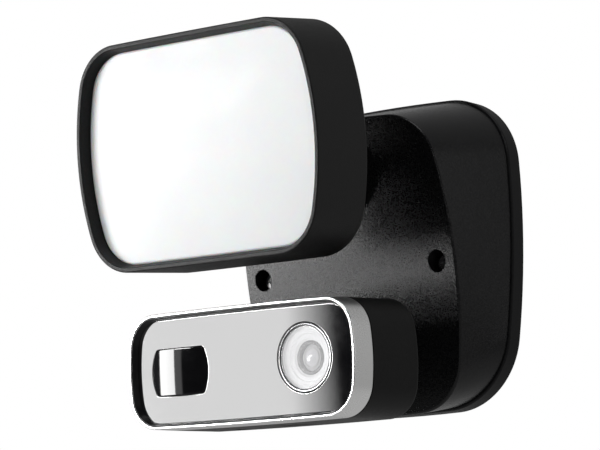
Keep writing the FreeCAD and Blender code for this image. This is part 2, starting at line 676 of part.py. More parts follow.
def lens_hood():
    """Stepped funnel between the clear disc and the lens barrel."""
    front = FACE_RECESS + FACE_THICK
    steps = [(WINDOW_R - 3.4, front, front + 1.2), (11.0, front + 1.2, front + 2.2),
             (8.4, front + 2.2, front + 3.2)]
    body = rod(LENS_X, LENS_Z, WINDOW_R - 0.2, front, front + 3.2)
    return without(body, *[rod(LENS_X, LENS_Z, r, a, b) for r, a, b in steps])


def lens_barrel():
    """Lens barrel and its square holder."""
    holder = block(LENS_X - 10, LENS_X + 10, 20, BOARD_Y, LENS_Z - 10, LENS_Z + 10)
    body = merged([rod(LENS_X, LENS_Z, 8.2, 8.2, 22), holder])
    return without(body, rod(LENS_X, LENS_Z, 6.6, 8.2, 12), rod(LENS_X, LENS_Z, 5.0, 12, 24),
                   block(LENS_X - 7, LENS_X + 7, 23, BOARD_Y, LENS_Z - 7, LENS_Z + 7))


def lens_element():
    """Domed front glass of the camera lens."""
    dome_r = 9.0
    disc = rod(LENS_X, LENS_Z, 6.5, 8.6, 12)
    return disc.common(Part.makeSphere(dome_r, Vector(LENS_X, 8.6 + dome_r, LENS_Z)))


def image_sensor():
    """Image sensor chip behind the lens."""
    return block(LENS_X - 5, LENS_X + 5, BOARD_Y - 1.4, BOARD_Y, LENS_Z - 4.5, LENS_Z + 4.5)


def camera_board():
    """Main board: camera, radio, motion sensor and light control."""
    board = block(-54, 54, BOARD_Y, BOARD_Y + BOARD_THICK, -19, 20)
    holes = [rod(x, z, 1.4, BOARD_Y, BOARD_Y + BOARD_THICK) for x, z in BOARD_SCREWS]
    return without(board, *holes)


BOARD_SCREWS = corners(50, 15)


def camera_board_screws():
    """Screws and spacers that hold the board to the housing's back."""
    back = BOARD_Y + BOARD_THICK
    return group([merged([pan_head_screw(x, z, BOARD_Y, 2.2, 1.4, 1.2, 8),
                          rod(x, z, 2.4, back, BAR_DEPTH - 2.5)]) for x, z in BOARD_SCREWS])


def processor_shield():
    """Metal can over the processor and the radio."""
    y = BOARD_Y + BOARD_THICK
    return rounded(block(-24, 0, y, y + 3, -4, 16), 0.5, lies_at(y + 3))


def wifi_antenna():
    """Printed antenna strip under the top of the housing."""
    return block(-20, 20, 20, 36, 24.2, 24.6)


def speaker():
    """Small loudspeaker over the opening in the underside."""
    floor = wall_z(BAR_WALL + 0.6)
    cone = Part.makeCylinder(8.0, 4.5, Vector(SPEAKER_X, SPEAKER_Y, floor), Z_AXIS)
    return merged([cone, Part.makeCylinder(4.5, 2.5, Vector(SPEAKER_X, SPEAKER_Y, floor + 4.5), Z_AXIS)])


def speaker_mesh():
    """Slotted plate in the loudspeaker's opening."""
    bottom, top, gap = wall_z(0.9), wall_z(1.5), 0.05
    half_x, half_y = SPEAKER_HALF_X - gap, SPEAKER_HALF_Y - gap
    plate = block(SPEAKER_X - half_x, SPEAKER_X + half_x, SPEAKER_Y - half_y, SPEAKER_Y + half_y,
                  bottom, top)
    slots = [block(SPEAKER_X - 3.2, SPEAKER_X + 3.2, SPEAKER_Y + y - 0.35, SPEAKER_Y + y + 0.35, bottom, top)
             for y in (-1.5, 0, 1.5)]
    return without(plate, *slots)


def microphone():
    """Microphone on the board, above its pinhole."""
    y = BOARD_Y + BOARD_THICK
    return block(MICROPHONE_X - 2, MICROPHONE_X + 2, y, y + 3, -18, -15)


def card_socket():
    """Memory card socket on the board, open downwards behind the flap."""
    y = BOARD_Y + BOARD_THICK
    body = block(5.5, 19.5, y, y + 2.2, -24.2, -9)
    return body.cut(block(6.7, 17.7, y + 0.5, y + 1.5, -24.2, -12))


def reset_switch():
    """Switch body that the reset button presses."""
    y = BOARD_Y + BOARD_THICK
    return block(RESET_X - 3, RESET_X + 3, y, y + 5.5, -22.2, -18.6)


def reset_button():
    """Small push button in the flap's pocket, kept in by a flange."""
    tip = wall_z(POCKET_DEPTH - 0.15)
    pad_top = wall_z(POCKET_DEPTH + POCKET_FLOOR)
    stem = Part.makeCylinder(2.0, -23.4 - tip, Vector(RESET_X, FLAP_Y, tip), Z_AXIS)
    return merged([stem, Part.makeCylinder(2.8, 0.8, Vector(RESET_X, FLAP_Y, pad_top + 0.1), Z_AXIS)])


FLAP_HINGE_Y = FLAP_Y + FLAP_L / 2 - 0.95
FLAP_HINGE_Z = wall_z(0.75)


def service_flap():
    """Soft flap over the card slot and the reset button, rounded about its hinge line at the back."""
    half_w = FLAP_W / 2 - FLAP_GAP
    front = FLAP_Y - FLAP_L / 2 + FLAP_GAP
    leaf = block(FLAP_X - half_w, FLAP_X + half_w, front, FLAP_HINGE_Y, wall_z(-3), wall_z(FLAP_THICK))
    leaf = leaf.common(slab(BAR, HOUSING_Y, BAR_DEPTH, -0.6))
    hinge_end = Vector(FLAP_X - half_w, FLAP_HINGE_Y, FLAP_HINGE_Z)
    return merged([leaf, Part.makeCylinder(FLAP_ROLL_R, 2 * half_w, hinge_end, Vector(1, 0, 0))])


def camera_screws():
    """Screws through the housing's back into the bezel's posts."""
    return group([rear_screw(x, z, BAR_DEPTH, 2.4, 1.6, 1.15, 12) for x, z in BAR_POSTS])


# ---------------------------------------------------------------- nodes

def in_lamp(shape):
    """Lamp head shape in the object's frame."""
    return placed(shape, LAMP_TILT, LAMP_CENTRE)


def in_bar(shape):
    """Camera head shape in the object's frame."""
    return placed(shape, BAR_TILT, BAR_CENTRE)


WALL_BOX = {
    "back_plate": back_plate, "wall_gasket": wall_gasket, "cover_gasket": cover_gasket,
    "housing_cover": housing_cover, "cable_grommet": cable_grommet, "terminal_block": terminal_block,
    "terminal_screws": terminal_screws, "power_board": power_board, "power_board_screws": power_board_screws,
    "power_transformer": power_transformer, "power_capacitors": power_capacitors,
}
LAMP_HEAD = {
    "lamp_shell": lamp_shell, "lamp_diffuser": lamp_diffuser, "lamp_seal": lamp_seal,
    "lamp_reflector": lamp_reflector, "lamp_led_board": lamp_led_board, "lamp_leds": lamp_leds,
    "lamp_heatsink": lamp_heatsink, "lamp_board_screws": lamp_board_screws,
}
CAMERA_HEAD = {
    "camera_housing": camera_housing, "camera_bezel": camera_bezel, "bezel_seal": bezel_seal,
    "camera_face": camera_face, "pir_lens": pir_lens, "pir_sensor": pir_sensor,
    "lens_trim_ring": lens_trim_ring, "lens_window": lens_window, "lens_hood": lens_hood,
    "lens_barrel": lens_barrel, "lens_element": lens_element, "image_sensor": image_sensor,
    "camera_board": camera_board, "camera_board_screws": camera_board_screws,
    "processor_shield": processor_shield, "wifi_antenna": wifi_antenna, "speaker": speaker,
    "speaker_mesh": speaker_mesh, "microphone": microphone, "card_socket": card_socket,
    "reset_switch": reset_switch, "reset_button": reset_button, "service_flap": service_flap,
    "camera_screws": camera_screws,
}


def cover_screws():
    """Two screws in the front wells, into the plate's posts."""
    return group([pan_head_screw(x, z, WELL_FLOOR_Y, 4.4, 2.8, 1.9, 24) for x, z in SCREW_POSTS])


def all_nodes():
    """Every node's shape by name, in the object's frame."""
    nodes = {name: make() for name, make in WALL_BOX.items()}
    nodes["cover_screws"] = cover_screws()
    nodes["lamp_arm"] = arm(LAMP_COLLAR_Z, LAMP_BALL, 14.0, 18.0)
    nodes["camera_arm"] = arm(BAR_COLLAR_Z, BAR_BALL, 11.0, 16.0)
    for name, z, ball in (("lamp", LAMP_COLLAR_Z, LAMP_BALL), ("camera", BAR_COLLAR_Z, BAR_BALL)):
        nodes[name + "_arm_seal"] = arm_seal(z)
        nodes[name + "_arm_nut"] = arm_nut(z)
        nodes[name + "_joint_liner"] = joint_liner(ball, z)
    for name, place, back_y, joint_y in (("lamp", in_lamp, LAMP_DEPTH, LAMP_JOINT),
                                         ("camera", in_bar, BAR_DEPTH, BAR_JOINT)):
        nodes[name + "_lock_ring"] = place(lock_ring(joint_y))
        nodes[name + "_socket"] = place(socket(back_y, joint_y))
        nodes[name + "_socket_screws"] = place(socket_screws(back_y))
    nodes.update({name: in_lamp(make()) for name, make in LAMP_HEAD.items()})
    nodes.update({name: in_bar(make()) for name, make in CAMERA_HEAD.items()})
    return nodes


os.makedirs("parts", exist_ok=True)
for node, shape in sorted(all_nodes().items()):
    print(node, len(shape.Solids), "solids, volume", round(shape.Volume, 1), "valid", shape.isValid())
    shape.exportStep(os.path.join("parts", node + ".step"))
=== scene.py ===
"""Looks of a floodlight security camera, built round its fixed CAD frame.

Metres in the scene; the moulded shapes are worked out in millimetres in each head's own frame, where y = 0 is
the head's front rim and y grows towards the wall. Every new piece is a numpy surface: a profile carried round
a contour, or a plate with openings.
"""
from __future__ import annotations

import json
import logging
import math
from dataclasses import dataclass, field
from enum import Enum
from typing import Optional, Sequence

import bpy
import numpy as np
from mathutils import Matrix, Vector
from mathutils.geometry import delaunay_2d_cdt


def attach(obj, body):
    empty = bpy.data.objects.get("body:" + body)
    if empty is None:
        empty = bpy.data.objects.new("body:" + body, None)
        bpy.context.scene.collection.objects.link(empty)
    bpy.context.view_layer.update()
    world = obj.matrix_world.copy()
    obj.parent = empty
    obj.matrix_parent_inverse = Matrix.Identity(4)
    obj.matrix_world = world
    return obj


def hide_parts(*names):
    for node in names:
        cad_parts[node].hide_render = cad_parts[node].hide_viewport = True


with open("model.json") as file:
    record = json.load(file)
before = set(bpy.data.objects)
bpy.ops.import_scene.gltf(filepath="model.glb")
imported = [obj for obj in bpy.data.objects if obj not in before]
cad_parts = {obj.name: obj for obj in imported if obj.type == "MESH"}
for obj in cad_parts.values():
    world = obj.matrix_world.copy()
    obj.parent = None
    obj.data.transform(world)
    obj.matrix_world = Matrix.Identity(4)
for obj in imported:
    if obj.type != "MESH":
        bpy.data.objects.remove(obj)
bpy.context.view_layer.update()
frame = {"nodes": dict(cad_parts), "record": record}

MM = 0.001
TINY = 1e-6
FINE_GUARD = 0.05  # guard points for the smallest parts, mm
DUST_COLOUR = (0.42, 0.4, 0.37)
DUST_ROUGHENING = 0.3
WEAR_SMOOTHING = 0.12
WORN_RADIUS = 0.0008  # metres, as the next two
BUMP_DEPTH = 0.0002
SCATTER_REACH = 0.002
COAT_ROUGHNESS = 0.04
BEVEL_SAMPLES = 4
CARD_POINTS = 41
SENSOR_MM = 36.0
Array = np.ndarray
RGB = tuple[float, float, float]
LOG = logging.getLogger("floodlight")


# ---------------------------------------------------------------- contours and profiles

@dataclass(frozen=True)
class Outline:
    """Closed outline of circular arcs: bowed sides, bowed top and bottom, round corners (millimetres)."""

    half_w: float
    half_h: float
    bow_side: float
    bow_top: float
    corner: float
    centre: tuple[float, float] = (0.0, 0.0)
    steps: tuple[int, int, int] = (36, 22, 48)

    def samples(self) -> tuple[Array, Array]:
        """Points and outward normals, the same share of each arc apart.

        Each corner arc is tangent to the side arc and the top arc beside it, so its centre is where circles
        of (side radius - corner) and (top radius - corner) round their centres cross.

        Returns:
            Two (n, 2) arrays in x and z: points and unit normals.
        """
        side_r = (self.half_h ** 2 + self.bow_side ** 2) / (2 * self.bow_side)
        flat_w = self.half_w - self.bow_side
        top_r = (flat_w ** 2 + self.bow_top ** 2) / (2 * self.bow_top)
        side_x, top_z = self.half_w - side_r, self.half_h - top_r
        gap = math.hypot(side_x, top_z)
        reach_side, reach_top = side_r - self.corner, top_r - self.corner
        along = (reach_side ** 2 - reach_top ** 2 + gap ** 2) / (2 * gap)
        across = math.sqrt(reach_side ** 2 - along ** 2)
        ux, uz = -side_x / gap, top_z / gap
        spots = [(side_x + ux * along - k * uz * across, uz * along + k * ux * across) for k in (1, -1)]
        cx, cz = max(spots)
        low, high = math.atan2(cz, cx - side_x), math.atan2(cz - top_z, cx)
        turn = math.pi
        side_n, corner_n, top_n = self.steps
        arcs = [
            (side_x, 0.0, side_r, -low, low, side_n),
            (cx, cz, self.corner, low, high, corner_n),
            (0.0, top_z, top_r, high, turn - high, top_n),
            (-cx, cz, self.corner, turn - high, turn - low, corner_n),
            (-side_x, 0.0, side_r, turn - low, turn + low, side_n),
            (-cx, -cz, self.corner, turn + low, turn + high, corner_n),
            (0.0, -top_z, top_r, turn + high, 2 * turn - high, top_n),
            (cx, -cz, self.corner, 2 * turn - high, 2 * turn - low, corner_n),
        ]
        angle = np.concatenate([np.linspace(a, b, n, endpoint=False) for _, _, _, a, b, n in arcs])
        hub = np.concatenate([np.full((n, 3), (x, z, r)) for x, z, r, _, _, n in arcs])
        normal = np.stack([np.cos(angle), np.sin(angle)], axis=-1)
        return hub[:, :2] + normal * hub[:, 2:] + np.array(self.centre), normal


@dataclass(frozen=True)
class Circle:
    """Round contour (millimetres)."""

    radius: float
    centre: tuple[float, float] = (0.0, 0.0)
    steps: int = 144

    def samples(self) -> tuple[Array, Array]:
        """Points and outward normals at even angles."""
        angle = np.linspace(0.0, 2 * math.pi, self.steps, endpoint=False)
        normal = np.stack([np.cos(angle), np.sin(angle)], axis=-1)
        return normal * self.radius + np.array(self.centre), normal


Contour = Outline | Circle


def rounded_path(corners: Sequence[tuple[float, float, float]], steps: int = 7, guard: float = 0.15) -> Array:
    """Polyline with an arc at each corner.

    Each arc touches both of its runs. A guard point stands a little way along each run, so that smooth
    shading stays flat on the flats.

    Args:
        corners: (inset, y, radius) for each corner, in millimetres; the first and last radius are unused.
        steps: points on each arc.
        guard: distance from an arc's end to its guard point.

    Returns:
        (m, 2) array of inset and y.
    """
    points = [np.array(c[:2]) for c in corners]
    out = [points[0]]
    for before, here, after, radius in zip(points, points[1:], points[2:], [c[2] for c in corners[1:]]):
        back, ahead = before - here, after - here
        len_back, len_ahead = np.linalg.norm(back), np.linalg.norm(ahead)
        back, ahead = back / len_back, ahead / len_ahead
        half = math.acos(float(np.clip(back @ ahead, -1.0, 1.0))) / 2
        reach = min(radius / math.tan(half), 0.45 * len_back, 0.45 * len_ahead)
        r = reach * math.tan(half)
        hub = here + (back + ahead) / np.linalg.norm(back + ahead) * (r / math.sin(half))
        v0, v1 = here + back * reach - hub, here + ahead * reach - hub
        swing = math.pi - 2 * half
        share = np.linspace(0.0, 1.0, steps)[:, None]
        arc = hub + (np.sin((1 - share) * swing) * v0 + np.sin(share * swing) * v1) / math.sin(swing)
        out.append(here + back * min(reach + guard, 0.7 * len_back))
        out.extend(arc)
        out.append(here + ahead * min(reach + guard, 0.7 * len_ahead))
    out.append(points[-1])
    return np.array(out)


@dataclass(frozen=True)
class HeadFrame:
    """Where a head's own frame lies in the object's: turned about X, then moved."""

    centre: tuple[float, float, float]
    tilt: float

    def place(self, points: Array) -> Array:
        """Points of the head's frame in millimetres as points of the object's frame in metres."""
        turn = math.radians(self.tilt)
        x, y, z = np.moveaxis(points, -1, 0)
        turned = np.stack([x, y * math.cos(turn) - z * math.sin(turn),
                           y * math.sin(turn) + z * math.cos(turn)], axis=-1)
        return (turned + np.array(self.centre)) * MM


def carried(contour: Contour, path: Array, back: Optional[Contour] = None,
            span: tuple[float, float] = (0.0, 1.0)) -> Array:
    """Profile carried round a contour.

    Ring k is the contour drawn in by inset k along its normals and set at depth y k. With a back contour,
    each ring is the mix of front and back in the share that y has of the span.

    Args:
        contour: the front contour.
        path: (m, 2) insets and depths.
        back: the contour at the far end of the span.
        span: depths of the front and the back contour.

    Returns:
        (m, n, 3) array of rings.
    """
    points, normals = contour.samples()
    back_points, back_normals = (back or contour).samples()
    share = np.clip((path[:, 1] - span[0]) / (span[1] - span[0]), 0.0, 1.0)[:, None, None]
    plan = points * (1 - share) + back_points * share
    normal = normals * (1 - share) + back_normals * share
    plan = plan - normal * path[:, 0][:, None, None]
    depth = np.broadcast_to(path[:, 1][:, None, None], plan.shape[:2] + (1,))
    return np.concatenate([plan[..., :1], depth, plan[..., 1:]], axis=-1)


def cap(ring: Array, centre: tuple[float, float], crown: float = 0.0, count: int = 14) -> Array:
    """Rings from an edge ring to its middle.

    Ring s is the edge scaled by s about the centre, and raised towards -y by crown * (1 - s^2).

    Args:
        ring: (n, 3) edge.
        centre: x and z of the middle.
        crown: rise of the middle in millimetres.
        count: rings, the last of which is the pole.

    Returns:
        (count, n, 3) array whose last ring is all one point.
    """
    scale = np.linspace(1.0, 0.0, count + 1)[1:, None, None]
    hub = np.array([centre[0], 0.0, centre[1]])
    flat = (ring - hub) * np.array([1.0, 0.0, 1.0])
    depth = ring[:, 1][None, :, None] * np.array([0.0, 1.0, 0.0])
    return hub + flat * scale + depth - crown * (1 - scale ** 2) * np.array([0.0, 1.0, 0.0])


# ---------------------------------------------------------------- meshes

def signed_volume(points: Array, faces: Sequence[Sequence[int]]) -> float:
    """Volume inside a closed mesh, positive where the faces point outwards (sum of tetrahedra)."""
    fans = [(f[0], f[k], f[k + 1]) for f in faces for k in range(1, len(f) - 1)]
    a, b, c = np.moveaxis(points[np.array(fans)], 1, 0)
    return float(np.einsum("ij,ij->i", a, np.cross(b, c)).sum() / 6)


def to_mesh(name: str, points: Array, faces: list[list[int]], sharp: float = 40.0) -> bpy.types.Object:
    """Object with outward faces and smooth shading.

    Args:
        name: the piece's name.
        points: (n, 3) positions in metres.
        faces: corner numbers of each face.
        sharp: angle in degrees past which an edge stays sharp.

    Returns:
        The linked object.
    """
    if signed_volume(points, faces) < 0:
        faces = [face[::-1] for face in faces]
    mesh = bpy.data.meshes.new(name)
    mesh.from_pydata(points.tolist(), [], faces)
    mesh.shade_smooth()
    mesh.set_sharp_from_angle(angle=math.radians(sharp))
    mesh.update()
    made = bpy.data.objects.new(name, mesh)
    bpy.context.scene.collection.objects.link(made)
    return made


def skin(name: str, rings: Array, place: HeadFrame, looped: bool = False) -> bpy.types.Object:
    """Quads between neighbouring rings.

    A first or last ring whose points all meet is made one vertex with a fan of triangles. A looped skin
    joins its last ring to its first.

    Args:
        name: the piece's name.
        rings: (m, n, 3) rings in the head's frame.
        place: the head's frame.
        looped: whether the profile closes on itself.

    Returns:
        The linked object.
    """
    start_pole = np.ptp(rings[0], axis=0).max() < TINY
    end_pole = np.ptp(rings[-1], axis=0).max() < TINY
    body = rings[(1 if start_pole else 0):(-1 if end_pole else len(rings))]
    count, around = body.shape[:2]
    index = np.arange(count * around).reshape(count, around)
    upper = index if looped else index[:-1]
    lower = np.roll(index, -1, axis=0) if looped else index[1:]
    quads = np.stack([upper, np.roll(upper, -1, axis=1), np.roll(lower, -1, axis=1), lower], axis=-1)
    faces = quads.reshape(-1, 4).tolist()
    points = [body.reshape(-1, 3)]
    total = count * around
    for has_pole, ring, tip, flip in ((start_pole, index[0], rings[0][0], True),
                                      (end_pole, index[-1], rings[-1][0], False)):
        if has_pole:
            fan = np.stack([ring, np.roll(ring, -1), np.full(around, total)], axis=-1)
            faces += (fan[:, ::-1] if flip else fan).tolist()
            points.append(tip[None])
            total += 1
    return to_mesh(name, place.place(np.concatenate(points)), faces)


def inside(points: Array, loop: Array) -> Array:
    """Which points lie inside a closed loop, by the even-odd rule."""
    x, z = points[:, :1], points[:, 1:]
    ax, az = loop[:, 0], loop[:, 1]
    bx, bz = np.roll(ax, -1), np.roll(az, -1)
    spans = (az > z) != (bz > z)
    rise = np.where(bz == az, 1.0, bz - az)
    return ((spans & (x < (bx - ax) * (z - az) / rise + ax)).sum(axis=1) % 2) == 1


def plate(name: str, outer: Array, holes: Sequence[Array], place: HeadFrame) -> bpy.types.Object:
    """Flat plate with openings.

    Every edge is a stack of rings from the front cap to the back cap; each cap is the Delaunay triangulation
    of its loops without the triangles that lie in an opening.

    Args:
        name: the piece's name.
        outer: (m, n, 3) rings of the outside edge, front first.
        holes: the same for each opening.
        place: the head's frame.

    Returns:
        The linked object.
    """
    stacks = [outer, *holes]
    points, faces, starts = [], [], []
    total = 0
    for stack in stacks:
        count, around = stack.shape[:2]
        index = total + np.arange(count * around).reshape(count, around)
        turn = index[:, ::-1] if stack is not outer else index
        quads = np.stack([turn[:-1], turn[1:], np.roll(turn[1:], -1, 1), np.roll(turn[:-1], -1, 1)], axis=-1)
        faces += quads.reshape(-1, 4).tolist()
        points.append(stack.reshape(-1, 3))
        starts.append(index)
        total += count * around
    points_all = np.concatenate(points)
    for level, flip in ((0, False), (-1, True)):
        rows = np.concatenate([index[level] for index in starts])
        flat = points_all[rows][:, [0, 2]]
        loops, edges, first = [], [], 0
        for index in starts:
            n = index.shape[1]
            edges += [(first + k, first + (k + 1) % n) for k in range(n)]
            loops.append(flat[first:first + n])
            first += n
        verts = [Vector(p) for p in flat]
        _, _, triangles, origin, _, _ = delaunay_2d_cdt(verts, edges, [], 0, TINY)
        named = np.array([o[0] for o in origin])
        triangles = named[np.array(triangles)]
        middle = flat[triangles].mean(axis=1)
        keep = inside(middle, loops[0])
        for loop in loops[1:]:
            keep &= ~inside(middle, loop)
        chosen = rows[triangles[keep]]
        faces += (chosen[:, ::-1] if flip else chosen).tolist()
    return to_mesh(name, place.place(points_all), faces)


# ---------------------------------------------------------------- finishes

class Grain(Enum):
    """Kinds of surface texture."""

    SPARK = "spark eroded mould texture"
    SATIN = "fine even satin"
    BRUSHED = "fine brushed lines"
    TRACES = "circuit board traces"
    CLEAR = "polished, faint haze only"


def group_sockets(tree: bpy.types.NodeTree, inputs: dict[str, float], outputs: Sequence[str]) -> None:
    """Adds named float inputs with their defaults, and named float outputs."""
    for name, value in inputs.items():
        tree.interface.new_socket(name, in_out="INPUT", socket_type="NodeSocketFloat").default_value = value
    for name in outputs:
        tree.interface.new_socket(name, in_out="OUTPUT", socket_type="NodeSocketFloat")


@dataclass
class NodeSheet:
    """Small helper that adds and joins nodes in one tree."""

    tree: bpy.types.NodeTree

    def add(self, kind: str, **settings: object) -> bpy.types.Node:
        """New node of a kind with its properties set."""
        node = self.tree.nodes.new(kind)
        for name, value in settings.items():
            setattr(node, name, value)
        return node

    def join(self, source: bpy.types.NodeSocket, target: bpy.types.NodeSocket) -> None:
        """Link from one socket to another."""
        self.tree.links.new(source, target)

    def math(self, operation: str, a: object, b: object = 0.0, c: object = 0.0,
             clamp: bool = False) -> bpy.types.NodeSocket:
        """Math node on sockets or numbers.

        Args:
            operation: Blender's name of the operation.
            a: first socket or number.
            b: second socket or number.
            c: third socket or number, for operations that take three.
            clamp: whether the result is kept between 0 and 1.

        Returns:
            The result's socket.
        """
        node = self.add("ShaderNodeMath", operation=operation, use_clamp=clamp)
        for slot, value in zip(node.inputs, (a, b, c)):
            if isinstance(value, bpy.types.NodeSocket):
                self.join(value, slot)
            else:
                slot.default_value = value
        return node.outputs[0]

    def noise(self, where: bpy.types.NodeSocket, scale: float, detail: float = 2.0,
              stretch: Optional[RGB] = None) -> bpy.types.NodeSocket:
        """Noise value at a place, stretched per axis if asked.

        Args:
            where: coordinate socket.
            scale: cells per metre.
            detail: octaves.
            stretch: factors on x, y and z.

        Returns:
            The value's socket.
        """
        if stretch is not None:
            mapping = self.add("ShaderNodeMapping")
            mapping.inputs["Scale"].default_value = stretch
            self.join(where, mapping.inputs["Vector"])
            where = mapping.outputs["Vector"]
        node = self.add("ShaderNodeTexNoise")
        node.inputs["Scale"].default_value = scale
        node.inputs["Detail"].default_value = detail
        self.join(where, node.inputs["Vector"])
        return node.outputs["Fac"]

    def ramp(self, value: bpy.types.NodeSocket, low: float, high: float) -> bpy.types.NodeSocket:
        """Value stretched so that low gives 0 and high gives 1, clamped."""
        node = self.add("ShaderNodeMapRange", interpolation_type="SMOOTHSTEP")
        node.inputs["From Min"].default_value = low
        node.inputs["From Max"].default_value = high
        self.join(value, node.inputs["Value"])
        return node.outputs["Result"]


@dataclass
class SharedEffects:
    """Node groups used by many finishes: one per grain, one for worn edges and one for dust."""

    made: dict[str, bpy.types.NodeTree] = field(default_factory=dict)

    def grain(self, kind: Grain) -> bpy.types.NodeTree:
        """Group that puts out a height for bump and a mask for colour and roughness.

        Args:
            kind: the texture.

        Returns:
            The group, built on first use.
        """
        key = f"grain_{kind.name.lower()}"
        if key in self.made:
            return self.made[key]
        tree = bpy.data.node_groups.new(key, "ShaderNodeTree")
        group_sockets(tree, {"Scale": 1500.0}, ("Height", "Mask"))
        sheet = NodeSheet(tree)
        start, end = sheet.add("NodeGroupInput"), sheet.add("NodeGroupOutput")
        where = sheet.add("ShaderNodeTexCoord").outputs["Object"]
        scaled = sheet.add("ShaderNodeVectorMath", operation="SCALE")
        sheet.join(where, scaled.inputs[0])
        sheet.join(start.outputs["Scale"], scaled.inputs["Scale"])
        place = scaled.outputs[0]
        broad = sheet.noise(where, 38.0, 3.0)
        if kind is Grain.SPARK:
            cells = sheet.add("ShaderNodeTexVoronoi", feature="F1")
            cells.inputs["Scale"].default_value = 1.0
            sheet.join(place, cells.inputs["Vector"])
            fine = sheet.math("MULTIPLY", cells.outputs["Distance"], 0.3)
            height = sheet.math("MULTIPLY_ADD", sheet.noise(place, 1.1, 2.0), 0.9, fine)
            facet = sheet.add("ShaderNodeSeparateColor")
            sheet.join(cells.outputs["Color"], facet.inputs["Color"])
            patches = sheet.math("MULTIPLY", broad, 0.25)
            mask = sheet.math("MULTIPLY_ADD", facet.outputs["Red"], 0.75, patches)
        elif kind is Grain.BRUSHED:
            height = sheet.noise(place, 1.0, 2.0, (0.03, 1.0, 1.0))
            mask = sheet.math("ADD", sheet.math("MULTIPLY", height, 0.6), sheet.math("MULTIPLY", broad, 0.4))
        elif kind is Grain.TRACES:
            lanes = sheet.add("ShaderNodeTexVoronoi", feature="F1", distance="MANHATTAN")
            lanes.inputs["Scale"].default_value = 0.2
            sheet.join(place, lanes.inputs["Vector"])
            lane = sheet.math("FRACT", sheet.math("MULTIPLY", lanes.outputs["Distance"], 5.0))
            mask = sheet.ramp(lane, 0.4, 0.55)
            height = sheet.math("MULTIPLY", mask, 0.7)
        else:
            height = sheet.noise(place, 1.0, 3.0)
            mask = sheet.math("ADD", sheet.math("MULTIPLY", height, 0.3), sheet.math("MULTIPLY", broad, 0.7))
        sheet.join(height, end.inputs["Height"])
        sheet.join(mask, end.inputs["Mask"])
        self.made[key] = tree
        return tree

    def edge_wear(self) -> bpy.types.NodeTree:
        """Group that marks convex and concave edges, broken up by noise.

        The mask is one less the cosine between the surface and a softened normal, so it is high within the
        radius of an edge.
        """
        if "edge_wear" in self.made:
            return self.made["edge_wear"]
        tree = bpy.data.node_groups.new("edge_wear", "ShaderNodeTree")
        group_sockets(tree, {"Amount": 0.5}, ("Mask",))
        sheet = NodeSheet(tree)
        start, end = sheet.add("NodeGroupInput"), sheet.add("NodeGroupOutput")
        soft = sheet.add("ShaderNodeBevel", samples=BEVEL_SAMPLES)
        soft.inputs["Radius"].default_value = WORN_RADIUS
        flat = sheet.add("ShaderNodeNewGeometry")
        dot = sheet.add("ShaderNodeVectorMath", operation="DOT_PRODUCT")
        sheet.join(soft.outputs["Normal"], dot.inputs[0])
        sheet.join(flat.outputs["Normal"], dot.inputs[1])
        bend = sheet.ramp(sheet.math("SUBTRACT", 1.0, dot.outputs["Value"]), 0.02, 0.2)
        where = sheet.add("ShaderNodeTexCoord").outputs["Object"]
        broken = sheet.ramp(sheet.noise(where, 420.0, 4.0), 0.42, 0.62)
        worn = sheet.math("MULTIPLY", sheet.math("MULTIPLY", bend, broken), start.outputs["Amount"])
        sheet.join(worn, end.inputs["Mask"])
        self.made["edge_wear"] = tree
        return tree

    def dust(self) -> bpy.types.NodeTree:
        """Group for a faint film of dust: specks everywhere and more on what faces up."""
        if "dust" in self.made:
            return self.made["dust"]
        tree = bpy.data.node_groups.new("dust", "ShaderNodeTree")
        group_sockets(tree, {"Amount": 0.2}, ("Mask",))
        sheet = NodeSheet(tree)
        start, end = sheet.add("NodeGroupInput"), sheet.add("NodeGroupOutput")
        geometry = sheet.add("ShaderNodeNewGeometry")
        split = sheet.add("ShaderNodeSeparateXYZ")
        sheet.join(geometry.outputs["Normal"], split.inputs[0])
        upward = sheet.ramp(split.outputs["Z"], 0.0, 1.0)
        where = sheet.add("ShaderNodeTexCoord").outputs["Object"]
        film = sheet.ramp(sheet.noise(where, 60.0, 5.0), 0.35, 0.75)
        specks = sheet.ramp(sheet.noise(where, 2600.0, 1.0), 0.72, 0.78)
        lying = sheet.math("MULTIPLY", sheet.math("MULTIPLY_ADD", upward, 0.6, 0.15), film)
        total = sheet.math("MULTIPLY", sheet.math("ADD", lying, sheet.math("MULTIPLY", specks, 0.5)),
                           start.outputs["Amount"], clamp=True)
        sheet.join(total, end.inputs["Mask"])
        self.made["dust"] = tree
        return tree


EFFECTS = SharedEffects()


